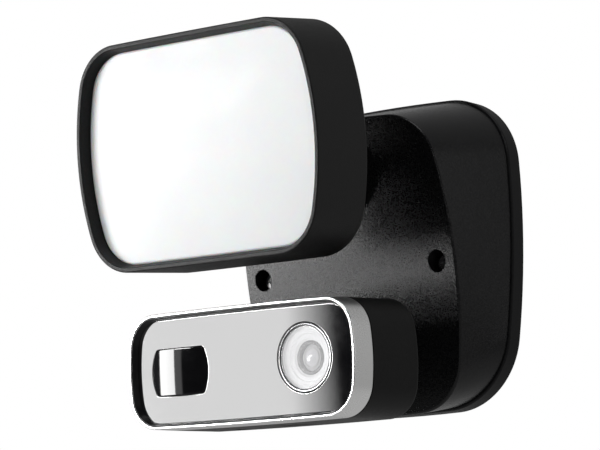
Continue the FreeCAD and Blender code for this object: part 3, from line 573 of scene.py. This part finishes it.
@dataclass(frozen=True)
class Finish:
    """One finish: what the surface is made of and how its texture changes it."""

    name: str
    base: RGB
    roughness: float
    grain: Grain = Grain.SATIN
    scale: float = 1500.0
    bump: float = 0.15
    second: Optional[RGB] = None
    spread: float = 0.08
    metallic: float = 0.0
    specular: float = 0.4
    ior: float = 1.5
    coat: float = 0.0
    edge: Optional[RGB] = None
    wear: float = 0.0
    dust: float = 0.0
    softened: float = 0.0003
    # emission; the opal panel, the funnel and the camera lens use it as painted light
    glow: float = 0.0
    alpha: float = 1.0
    scatter: float = 0.0

    def second_colour(self) -> RGB:
        """Colour where the grain's mask is full."""
        return self.second or tuple(min(1.0, 1.35 * c + 0.002) for c in self.base)

    def material(self) -> bpy.types.Material:
        """Principled material with grain, worn edges and dust, built on first use."""
        known = bpy.data.materials.get(f"{self.name}_finish")
        if known:
            return known
        made = bpy.data.materials.new(f"{self.name}_finish")
        made.use_nodes = True
        made.diffuse_color = (*self.base, 1.0)
        sheet = NodeSheet(made.node_tree)
        shader = made.node_tree.nodes["Principled BSDF"]
        for socket, value in (("Metallic", self.metallic), ("Specular IOR Level", self.specular),
                              ("IOR", self.ior), ("Coat Weight", self.coat),
                              ("Coat Roughness", COAT_ROUGHNESS),
                              ("Alpha", self.alpha), ("Subsurface Weight", self.scatter),
                              ("Subsurface Scale", SCATTER_REACH)):
            shader.inputs[socket].default_value = value
        texture = sheet.add("ShaderNodeGroup")
        texture.node_tree = EFFECTS.grain(self.grain)
        texture.inputs["Scale"].default_value = self.scale
        mask = sheet.ramp(texture.outputs["Mask"], 0.3, 0.7)
        colour = self.mixed(sheet, mask, self.base, self.second_colour())
        rough = sheet.math("MULTIPLY_ADD", mask, self.spread, self.roughness - self.spread / 2)
        if self.wear > 0.0:
            worn = sheet.add("ShaderNodeGroup")
            worn.node_tree = EFFECTS.edge_wear()
            worn.inputs["Amount"].default_value = self.wear
            edge = self.edge or tuple(min(1.0, 3.0 * c + 0.02) for c in self.base)
            colour = self.mixed(sheet, worn.outputs["Mask"], colour, edge)
            smoother = sheet.math("MULTIPLY", worn.outputs["Mask"], WEAR_SMOOTHING)
            rough = sheet.math("SUBTRACT", rough, smoother, clamp=True)
        if self.dust > 0.0:
            film = sheet.add("ShaderNodeGroup")
            film.node_tree = EFFECTS.dust()
            film.inputs["Amount"].default_value = self.dust
            colour = self.mixed(sheet, film.outputs["Mask"], colour, DUST_COLOUR)
            rougher = sheet.math("MULTIPLY", film.outputs["Mask"], DUST_ROUGHENING)
            rough = sheet.math("ADD", rough, rougher, clamp=True)
        sheet.join(colour, shader.inputs["Base Color"])
        sheet.join(rough, shader.inputs["Roughness"])
        relief = sheet.add("ShaderNodeBump")
        relief.inputs["Strength"].default_value = self.bump
        relief.inputs["Distance"].default_value = BUMP_DEPTH
        sheet.join(texture.outputs["Height"], relief.inputs["Height"])
        if self.softened > 0.0:
            soft = sheet.add("ShaderNodeBevel", samples=BEVEL_SAMPLES)
            soft.inputs["Radius"].default_value = self.softened
            sheet.join(soft.outputs["Normal"], relief.inputs["Normal"])
        sheet.join(relief.outputs["Normal"], shader.inputs["Normal"])
        # emission from the finish's colour: painted light on the pieces that use it
        if self.glow > 0.0:
            sheet.join(colour, shader.inputs["Emission Color"])
            shader.inputs["Emission Strength"].default_value = self.glow
        return made

    @staticmethod
    def mixed(sheet: NodeSheet, share: bpy.types.NodeSocket, a: object, b: RGB) -> bpy.types.NodeSocket:
        """Mix of two colours, the first a socket or a colour.

        Args:
            sheet: where the node goes.
            share: 0 for the first, 1 for the second.
            a: first colour or its socket.
            b: second colour.

        Returns:
            The mixed colour's socket.
        """
        node = sheet.add("ShaderNodeMix", data_type="RGBA")
        sheet.join(share, node.inputs["Factor"])
        if isinstance(a, bpy.types.NodeSocket):
            sheet.join(a, node.inputs[6])
        else:
            node.inputs[6].default_value = (*a, 1.0)
        node.inputs[7].default_value = (*b, 1.0)
        return node.outputs[2]


FINISHES: dict[str, Finish] = {finish.name: finish for finish in (
    Finish("plate_black", (0.0055, 0.0055, 0.006), 0.46, Grain.SPARK, 1500.0, 0.3,
           specular=0.17, wear=0.2, dust=0.012),
    Finish("cover_black", (0.0045, 0.0045, 0.005), 0.22, Grain.SPARK, 1700.0, 0.4,
           second=(0.010, 0.010, 0.0105), spread=0.10, specular=0.26, wear=0.35, dust=0.003),
    Finish("lamp_black", (0.007, 0.007, 0.007), 0.5, Grain.SPARK, 1400.0, 0.6,
           specular=0.24, wear=0.3, dust=0.012),
    Finish("camera_black", (0.0055, 0.0055, 0.0055), 0.46, Grain.SPARK, 1500.0, 0.3,
           specular=0.16, wear=0.2, dust=0.012),
    Finish("joint_black", (0.006, 0.006, 0.006), 0.42, Grain.SPARK, 2400.0, 0.25,
           specular=0.2, wear=0.3, dust=0.012),
    Finish("rubber", (0.010, 0.010, 0.010), 0.78, Grain.SATIN, 2200.0, 0.3, specular=0.25, dust=0.05),
    Finish("flap_rubber", (0.022, 0.021, 0.019), 0.7, Grain.SATIN, 2000.0, 0.3,
           specular=0.3, dust=0.05),
    Finish("black_steel", (0.30, 0.30, 0.305), 0.26, Grain.SATIN, 2400.0, 0.12, metallic=0.9,
           edge=(0.5, 0.5, 0.5), wear=0.6),
    Finish("zinc_steel", (0.60, 0.60, 0.58), 0.3, Grain.SATIN, 2600.0, 0.12, metallic=1.0,
           second=(0.5, 0.5, 0.47), wear=0.3, edge=(0.8, 0.8, 0.8)),
    Finish("white_plastic", (0.80, 0.80, 0.78), 0.45, Grain.SATIN, 1800.0, 0.1,
           second=(0.76, 0.76, 0.73)),
    Finish("circuit_board", (0.010, 0.085, 0.035), 0.35, Grain.TRACES, 900.0, 0.3,
           second=(0.02, 0.16, 0.07), coat=0.3),
    Finish("ferrite", (0.05, 0.045, 0.04), 0.6, Grain.SPARK, 1500.0, 0.3),
    Finish("capacitor_sleeve", (0.01, 0.012, 0.04), 0.28, Grain.CLEAR, 900.0, 0.05,
           coat=0.4),
    Finish("nylon", (0.66, 0.65, 0.58), 0.42, Grain.SATIN, 1500.0, 0.1, second=(0.62, 0.6, 0.52)),
    # opal: glow 0.03 is a faint painted glow that brightens the panel beyond the light falling on it
    Finish("opal", (0.76, 0.775, 0.78), 0.34, Grain.CLEAR, 500.0, 0.03, second=(0.745, 0.76, 0.77),
           specular=0.35, scatter=0.35, glow=0.03, spread=0.05),
    Finish("led_board", (0.84, 0.84, 0.82), 0.4, Grain.TRACES, 500.0, 0.1,
           second=(0.78, 0.78, 0.76)),
    Finish("led_phosphor", (0.85, 0.66, 0.16), 0.35, Grain.SATIN, 3000.0, 0.1),
    Finish("aluminium", (0.66, 0.66, 0.68), 0.38, Grain.BRUSHED, 2400.0, 0.2, metallic=1.0),
    Finish("satin_silver", (0.95, 0.95, 0.94), 0.3, Grain.SATIN, 3200.0, 0.08, metallic=1.0,
           second=(0.90, 0.90, 0.89), edge=(0.95, 0.95, 0.95), wear=0.8, spread=0.1),
    Finish("gloss_face", (0.006, 0.006, 0.007), 0.035, Grain.CLEAR, 300.0, 0.004, specular=1.0,
           ior=2.6, spread=0.02, softened=0.0),
    Finish("pir_gloss", (0.004, 0.004, 0.0045), 0.05, Grain.CLEAR, 300.0, 0.006, specular=0.38,
           spread=0.02, softened=0.0),
    Finish("trim_black", (0.010, 0.010, 0.011), 0.3, Grain.SATIN, 2000.0, 0.1, specular=0.5,
           wear=0.2),
    # clear_window: a milky white film at alpha 0.3, painted reflection of the lights on the camera window
    Finish("clear_window", (0.88, 0.88, 0.89), 0.04, Grain.CLEAR, 300.0, 0.004, specular=1.0,
           ior=1.9, alpha=0.3, spread=0.02, softened=0.0),
    # lens_grey: light grey with glow, painted reflection and painted light; the grey stands for the lights
    # mirrored in the camera window, the glow lifts the funnel that the lamp head shades
    Finish("lens_grey", (0.86, 0.86, 0.87), 0.38, Grain.BRUSHED, 2200.0, 0.1,
           second=(0.80, 0.80, 0.81), glow=0.42),
    # lens_glass: grey with glow, painted reflection and painted light that make the lens as light as the
    # window round it
    Finish("lens_glass", (0.60, 0.60, 0.62), 0.05, Grain.CLEAR, 300.0, 0.01, specular=0.8,
           second=(0.66, 0.65, 0.67), coat=1.0, glow=0.4, spread=0.02, softened=0.0),
    Finish("chip_black", (0.015, 0.015, 0.015), 0.5, Grain.SPARK, 2600.0, 0.2),
    Finish("button_grey", (0.12, 0.12, 0.12), 0.45, Grain.SATIN, 2200.0, 0.15),
)}


# ---------------------------------------------------------------- pieces

def finish_piece(made: bpy.types.Object, body: str, slot: str, *nodes: str) -> bpy.types.Object:
    """Gives a new piece its body and its finish, and hides the CAD nodes that it stands for.

    Args:
        made: the piece.
        body: CAD body that it rides on.
        slot: material slot of the record, which names the finish too.
        nodes: CAD nodes that it replaces.

    Returns:
        The piece.
    """
    made.data.materials.append(FINISHES[slot].material())
    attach(made, body)
    if nodes:
        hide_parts(*nodes)
    LOG.info("%s: %d faces on %s", made.name, len(made.data.polygons), body)
    return made


def closed_path(corners: Sequence[tuple[float, float, float]], steps: int = 7, guard: float = 0.15) -> Array:
    """Polyline that closes on itself, with an arc at every corner."""
    return rounded_path([corners[-1], *corners, corners[0]], steps, guard)[1:-1]


@dataclass
class LampHead:
    """Lamp head: a deep shell with a narrow lip and an opal front set in from it."""

    place: HeadFrame = HeadFrame((0.0, -162.8, 36.2), 7.87)
    front: Outline = Outline(77.2, 55.8, 11.7, 0.3, 25.0)
    back: Outline = Outline(74.4, 57.2, 11.7, 0.3, 28.0)
    depth: float = 40.7
    wall: float = 3.0
    rim: float = 2.3
    recess: float = 5.2
    inset: float = 3.8
    ledge: float = 12.0
    edge_r: float = 0.7
    back_r: float = 2.5
    crown: float = 0.8
    crown_at_edge: float = 0.12
    middle: float = 12.0
    panel_thick: float = 2.4

    def shell(self) -> bpy.types.Object:
        """Cup from the middle of its back over the side and lip to the middle of its inner wall."""
        path = rounded_path([
            (8.0, self.depth, 0.0), (0.0, self.depth, self.back_r), (0.0, 0.0, self.edge_r),
            (self.rim, 0.0, 0.45), (self.inset, self.recess, 0.3), (self.inset, self.ledge, 0.2),
            (self.inset + 2, self.ledge, 0.3), (self.wall + 0.2, self.depth - self.wall, 1.5),
            (8.0, self.depth - self.wall, 0.0)])
        rings = carried(self.front, path, self.back, (0.0, self.depth))
        outside = cap(rings[0], (0.0, 0.0))[::-1]
        made = skin("lamp_housing", np.concatenate([outside, rings, cap(rings[-1], (0.0, 0.0))]), self.place)
        return finish_piece(made, "lamp_head", "lamp_black", "lamp_shell")

    def diffuser(self) -> bpy.types.Object:
        """Opal panel, slightly crowned, with a rounded edge."""
        gap, back = self.inset + 0.12, self.recess + self.panel_thick
        path = rounded_path([
            (self.middle, back, 0.0), (gap, back, 0.3), (gap, self.recess, 1.1),
            (self.middle, self.recess - self.crown_at_edge * self.crown, 0.0)])
        rings = carried(self.front, path, self.back, (0.0, self.depth))
        front = cap(rings[-1], (0.0, 0.0), (1 - self.crown_at_edge) * self.crown, 24)
        made = skin("lamp_panel", np.concatenate([cap(rings[0], (0.0, 0.0))[::-1], rings, front]), self.place)
        return finish_piece(made, "lamp_head", "opal", "lamp_diffuser")

    def build(self) -> None:
        """Builds the lamp head's pieces."""
        self.shell()
        self.diffuser()


@dataclass
class CameraHead:
    """Camera head's front: silver ring, a black lining inside it as painted shade, gloss face, motion window
    and camera window.
    """

    place: HeadFrame = HeadFrame((0.0, -129.0, -64.7), 4.1)
    bar: Outline = Outline(72.2, 28.6, 4.2, 0.6, 16.8)
    bezel_depth: float = 13.3
    draft: float = 0.4
    rim: float = 1.35
    throat: float = 2.8
    recess: float = 3.9
    thick: float = 2.0
    inner: float = 4.4
    lens: tuple[float, float] = (38.5, 0.9)
    window_r: float = 16.8
    lens_r: float = 6.45
    lens_tip: float = 8.6
    lens_dome: float = 1.9
    lens_foot: float = 11.8
    pir: Outline = Outline(18.4, 11.7, 3.2, 0.2, 2.0, (-41.2, -0.5), (14, 8, 40))
    pir_bulge: float = 2.6
    pir_crown: float = 0.22
    pir_rings: int = 26

    def bezel(self) -> None:
        """Silver ring with a polished round lip, and inside it a black lining that is painted shade of the
        recess.
        """
        face, back = self.recess, self.bezel_depth
        lip = [(-self.draft, back, 0.3), (0.0, 0.0, 0.9), (self.rim, 0.0, 0.3), (self.rim, face + 2.4, 0.1),
               (self.inner, face + 2.4, 0.1), (self.inner, back, 0.2)]
        made = skin("bezel_ring", carried(self.bar, closed_path(lip)), self.place, looped=True)
        finish_piece(made, "camera_head", "satin_silver", "camera_bezel")
        # black lining over the ring's inner wall: painted shade of the recess between ring and face
        shade = [(self.rim + 0.02, 0.35, 0.1), (self.rim + 0.55, 0.25, 0.15), (self.throat, face, 0.15),
                 (self.throat, face + 2.3, 0.1), (self.rim + 0.02, face + 2.3, 0.1)]
        made = skin("bezel_painted_shade", carried(self.bar, closed_path(shade)), self.place, looped=True)
        finish_piece(made, "camera_head", "trim_black")

    def face(self) -> bpy.types.Object:
        """Mirror-gloss panel with openings for the camera window and the motion window."""
        bevel, front, back = 0.35, self.recess, self.recess + self.thick
        edge = rounded_path([(bevel * 2.2, front, 0.0), (0.0, front, bevel), (0.0, back, 0.0)],
                            guard=FINE_GUARD)
        grown = edge * np.array([-1.0, 1.0])
        outer = carried(self.bar, edge + np.array([self.throat + 0.08, 0.0]))
        holes = [carried(Circle(self.window_r, self.lens), grown), carried(self.pir, grown)]
        made = plate("camera_panel", outer, holes, self.place)
        return finish_piece(made, "camera_head", "gloss_face", "camera_face")

    def motion_window(self) -> bpy.types.Object:
        """Motion window: the front of an upright drum, barrelled a little, with a rounded edge.

        Depth at x is the drum's circle, y = y0 - bulge + R - sqrt(R^2 - x^2), with R from bulge and width.
        The barrel adds crown * (z / half height)^2.
        """
        drum_r = (self.pir.half_w ** 2 + self.pir_bulge ** 2) / (2 * self.pir_bulge)
        points, normals = self.pir.samples()
        hub = np.array(self.pir.centre)
        soft, gap, back = 0.45, 0.1, self.recess + self.thick
        scale = np.linspace(0.0, 1.0, self.pir_rings)[:, None, None]
        edge = points - normals * (gap + soft)
        plan = hub + (edge - hub) * scale
        turn = np.linspace(0.0, math.pi / 2, 7)[1:, None, None]
        bent = points - normals * (gap + soft * (1 - np.sin(turn)))
        plan = np.concatenate([plan, bent])
        drop = np.concatenate([np.zeros(self.pir_rings), soft * (1 - np.cos(turn[:, 0, 0]))])
        x = plan[..., 0] - hub[0]
        barrel = self.pir_crown * ((plan[..., 1] - hub[1]) / self.pir.half_h) ** 2
        drum = self.recess - self.pir_bulge + drum_r - np.sqrt(drum_r ** 2 - x ** 2)
        depth = drum + barrel + drop[:, None]
        rings = np.stack([plan[..., 0], depth, plan[..., 1]], axis=-1)
        foot = rings[-1].copy()
        foot[:, 1] = back
        tail = cap(foot, self.pir.centre)
        made = skin("motion_window", np.concatenate([rings, foot[None], tail]), self.place)
        return finish_piece(made, "camera_head", "pir_gloss", "pir_lens")

    def turned(self, name: str, slot: str, radius: float, path: Array, caps: tuple[bool, bool],
               *nodes: str) -> bpy.types.Object:
        """Piece turned about the camera's axis.

        Args:
            name: the piece's name.
            slot: its material slot.
            radius: radius that the path's insets are taken from.
            path: (m, 2) insets and depths.
            caps: whether the first and the last ring close at the axis.
            nodes: CAD nodes that it replaces.

        Returns:
            The piece.
        """
        rings = carried(Circle(radius, self.lens), path)
        parts = [cap(rings[0], self.lens, count=4)[::-1]] if caps[0] else []
        parts.append(rings)
        if caps[1]:
            parts.append(cap(rings[-1], self.lens, count=4))
        made = skin(name, np.concatenate(parts), self.place, looped=not any(caps))
        return finish_piece(made, "camera_head", slot, *nodes)

    def camera_window(self) -> None:
        """Trim ring, clear disc, stepped funnel, domed lens and two white rings, all turned about the
        camera's axis. The disc's milky film, the light grey and glow of funnel and lens, and the rings' white
        are painted reflection and painted light.

        The trim ring is two black lips with a channel between them, and a silver band lies in the channel.
        """
        front, back = self.recess, self.recess + self.thick
        ring = [(0.0, back, 0.1), (0.0, front - 0.25, 0.2), (0.45, front - 0.25, 0.15),
                (0.5, front + 0.5, 0.05), (1.2, front + 0.5, 0.05), (1.25, front - 0.1, 0.1),
                (1.6, front - 0.1, 0.1), (1.6, back, 0.1)]
        trim_r, is_open = self.window_r - 0.1, (False, False)
        self.turned("window_ring", "trim_black", trim_r, closed_path(ring, 5), is_open, "lens_trim_ring")
        floor = front + 0.46
        band = [(0.56, floor, 0.05), (0.56, front - 0.05, 0.1), (1.19, front, 0.1), (1.19, floor, 0.05)]
        self.turned("window_band", "black_steel", trim_r, closed_path(band, 5, FINE_GUARD), is_open)
        path = rounded_path([(4.0, front + 0.25, 0.0), (0.0, front + 0.25, 0.35), (0.0, back - 0.02, 0.1),
                             (4.0, back - 0.02, 0.0)])
        # the disc's milky white film is painted reflection
        self.turned("window_disc", "clear_window", self.window_r - 1.72, path, (True, True), "lens_window")
        path = rounded_path([
            (0.0, back + 3.2, 0.0), (0.0, back + 0.05, 0.1), (1.5, back + 0.05, 0.1),
            (1.9, back + 0.45, 0.15), (3.0, back + 0.45, 0.15), (3.4, back + 0.2, 0.1),
            (5.2, back + 0.5, 0.2), (5.4, back + 1.3, 0.1), (7.4, back + 1.6, 0.2),
            (7.6, back + 2.3, 0.1), (8.2, back + 2.4, 0.1), (8.4, back + 3.2, 0.1),
            (0.1, back + 3.2, 0.0)], steps=5, guard=FINE_GUARD)
        # the funnel's light grey and glow are painted reflection and painted light
        self.turned("window_funnel", "lens_grey", self.window_r - 0.2, path, is_open, "lens_hood")
        turn = np.linspace(0.0, 1.0, 16)
        path = np.stack([self.lens_r * turn[::-1], self.lens_tip + self.lens_dome * turn ** 2], axis=-1)
        path = np.concatenate([path, [[0.0, self.lens_foot], [2.0, self.lens_foot + 0.1]]])
        path[0, 0] = self.lens_r - 0.02
        # the lens's grey and glow are painted reflection and painted light
        self.turned("camera_lens", "lens_glass", self.lens_r, path, (True, True), "lens_element")
        # two white rings round the lens; their white is painted highlight, standing for the bright rings of
        # the lens
        for name, reach, depth in (("lens_ring_outer", 7.7, 8.9), ("lens_ring_inner", 4.8, 8.6)):
            foot = depth + 0.7
            edge = [(0.0, foot, 0.05), (0.0, depth, 0.15), (0.45, depth, 0.15), (0.45, foot, 0.05)]
            self.turned(name, "white_plastic", reach, closed_path(edge, 5, FINE_GUARD), is_open)

    def build(self) -> None:
        """Builds the camera head's front."""
        self.bezel()
        self.face()
        self.motion_window()
        self.camera_window()


@dataclass
class CarriedNodes:
    """CAD nodes that keep their shape and take a finish."""

    nodes: dict[str, bpy.types.Object]
    slots: dict[str, str]
    replaced: frozenset[str] = frozenset({
        "lamp_shell", "lamp_diffuser", "camera_bezel", "camera_face", "pir_lens", "lens_trim_ring",
        "lens_window", "lens_hood", "lens_element"})

    def build(self) -> None:
        """Gives each node the finish of its slot."""
        for name, made in sorted(self.nodes.items()):
            if name in self.replaced:
                continue
            finish = FINISHES[self.slots[name]].material()
            if not made.material_slots:
                made.data.materials.append(finish)
            for slot in made.material_slots:
                slot.material = finish
        LOG.info("%d carried nodes dressed", len(self.nodes) - len(self.replaced))


# ---------------------------------------------------------------- studio

@dataclass
class Studio:
    """Camera, white surroundings, mirrored cards and soft lights."""

    eye: tuple[float, float, float] = (0.95473, -1.20323, -0.22919)
    aim: tuple[float, float, float] = (-0.64065, 0.75104, 0.15973)
    roll: float = 0.42
    lens_mm: float = 180.95
    mirror_point: tuple[float, float, float] = (0.0, -0.125, -0.065)
    mirror_way: tuple[float, float, float] = (-0.65, -0.76, 0.0)
    card_distance: float = 1.3
    before: float = 0.08
    behind: float = 0.30
    below: float = 0.38

    def camera(self) -> None:
        """Camera at the viewing angle, its up turned by the roll."""
        forward = Vector(self.aim).normalized()
        right = forward.cross(Vector((0, 0, 1))).normalized()
        up = right.cross(forward)
        turn = math.radians(self.roll)
        cos, sin = math.cos(turn), math.sin(turn)
        right, up = cos * right + sin * up, cos * up - sin * right
        data = bpy.data.cameras.new("view")
        data.lens, data.sensor_width = self.lens_mm, SENSOR_MM
        made = bpy.data.objects.new("view", data)
        bpy.context.scene.collection.objects.link(made)
        turned = Matrix((right, up, -forward)).transposed().to_4x4()
        made.matrix_world = Matrix.Translation(Vector(self.eye)) @ turned
        bpy.context.scene.camera = made

    def surroundings(self) -> None:
        """White where the camera looks; as light, dim in front of the object, brighter behind and below."""
        world = bpy.data.worlds.new("studio")
        bpy.context.scene.world = world
        world.use_nodes = True
        sheet = NodeSheet(world.node_tree)
        ground = world.node_tree.nodes["Background"]
        ground.inputs["Color"].default_value = (1.0, 1.0, 1.0, 1.0)
        split = sheet.add("ShaderNodeSeparateXYZ")
        sheet.join(sheet.add("ShaderNodeTexCoord").outputs["Generated"], split.inputs[0])
        behind = sheet.ramp(split.outputs["Y"], -0.3, 0.8)
        light = sheet.math("MULTIPLY_ADD", behind, self.behind - self.before, self.before)
        under = sheet.ramp(sheet.math("MULTIPLY", split.outputs["Z"], -1.0), 0.1, 0.4)
        light = sheet.math("MULTIPLY_ADD", under, sheet.math("SUBTRACT", self.below, light), light)
        seen = sheet.add("ShaderNodeLightPath").outputs["Is Camera Ray"]
        sheet.join(sheet.math("MAXIMUM", seen, light), ground.inputs["Strength"])

    def card(self, name: str, across: tuple[float, float], height: tuple[float, float], strength: float,
             fade: tuple[float, float] = (0.0, 0.0)) -> None:
        """Upright card in front of the object, square to the way that the gloss face mirrors.

        Args:
            name: the card's name.
            across: its left and right edge in metres, from the mirrored ray, right as the object sees it.
            height: its lower and upper edge.
            strength: light that it gives; 0 is a black flag.
            fade: width over which the left and right edges fade out.
        """
        way = Vector(self.mirror_way).normalized()
        side = Vector((-way.y, way.x, 0.0))
        origin = Vector(self.mirror_point) + way * self.card_distance
        share = np.linspace(0.0, 1.0, CARD_POINTS)
        reach = across[0] + share * (across[1] - across[0])
        base = np.array(origin) + reach[:, None] * np.array(side)
        low, high = base.copy(), base.copy()
        low[:, 2], high[:, 2] = height
        index = np.arange(CARD_POINTS)
        quads = np.stack([index[:-1], index[1:], index[1:] + CARD_POINTS, index[:-1] + CARD_POINTS], axis=-1)
        mesh = bpy.data.meshes.new(name)
        mesh.from_pydata(np.concatenate([low, high]).tolist(), [], quads.tolist())
        rise = np.clip((reach - across[0]) / max(fade[0], TINY), 0.0, 1.0)
        fall = np.clip((across[1] - reach) / max(fade[1], TINY), 0.0, 1.0)
        level = mesh.attributes.new("level", "FLOAT", "POINT")
        level.data.foreach_set("value", np.tile(rise * fall, 2).astype(np.float32))
        lit = bpy.data.materials.new(name)
        lit.use_nodes = True
        sheet = NodeSheet(lit.node_tree)
        lit.node_tree.nodes.remove(lit.node_tree.nodes["Principled BSDF"])
        glow = sheet.add("ShaderNodeEmission")
        value = sheet.add("ShaderNodeAttribute", attribute_name="level").outputs["Fac"]
        sheet.join(sheet.math("MULTIPLY", value, strength), glow.inputs["Strength"])
        sheet.join(glow.outputs[0], lit.node_tree.nodes["Material Output"].inputs["Surface"])
        mesh.materials.append(lit)
        made = bpy.data.objects.new(name, mesh)
        bpy.context.scene.collection.objects.link(made)
        made.visible_camera = False
        made.visible_shadow = False

    def softbox(self, name: str, where: tuple[float, float, float], size: tuple[float, float],
                power: float) -> None:
        """Area light that faces the object.

        Args:
            name: the light's name.
            where: its place in metres.
            size: width and height.
            power: in watts.
        """
        data = bpy.data.lights.new(name, "AREA")
        data.shape, data.size, data.size_y = "RECTANGLE", size[0], size[1]
        data.energy = power
        made = bpy.data.objects.new(name, data)
        bpy.context.scene.collection.objects.link(made)
        place = Vector(where)
        turn = (Vector((0.0, -0.1, 0.0)) - place).to_track_quat("-Z", "Y")
        made.matrix_world = Matrix.Translation(place) @ turn.to_matrix().to_4x4()
        made.visible_camera = False

    def build(self) -> None:
        """Builds the studio."""
        bpy.context.scene.view_settings.view_transform = "Standard"
        self.camera()
        self.surroundings()
        self.card("bright_card", (-0.60, -0.125), (-0.265, 0.18), 22.0, (0.04, 0.02))
        self.card("dim_card", (-0.125, 0.072), (-0.28, 0.06), 1.65, (0.0, 0.045))
        self.card("band_card", (-0.125, 0.30), (0.06, 0.19), 34.0, (0.0, 0.05))
        self.card("black_flag", (0.072, 1.0), (-0.28, 0.06), 0.0)
        self.softbox("top_light", (0.3, -0.5, 1.3), (0.9, 0.6), 6.0)
        self.softbox("right_light", (1.5, 0.5, 0.4), (0.5, 1.0), 1.2)
        self.softbox("front_strip", (1.35, -1.05, 0.25), (0.12, 0.9), 1.5)


def main() -> None:
    """Builds the studio and every sub-assembly, and reports each piece."""
    logging.basicConfig(level=logging.INFO, format="%(name)s: %(message)s")
    slots = {part["node"]: part["material_slot"] for part in frame["record"]["subparts"]}
    for part in (Studio(), LampHead(), CameraHead(), CarriedNodes(frame["nodes"], slots)):
        part.build()
        LOG.info("%s built", type(part).__name__)


if __name__ == "__main__":
    main()
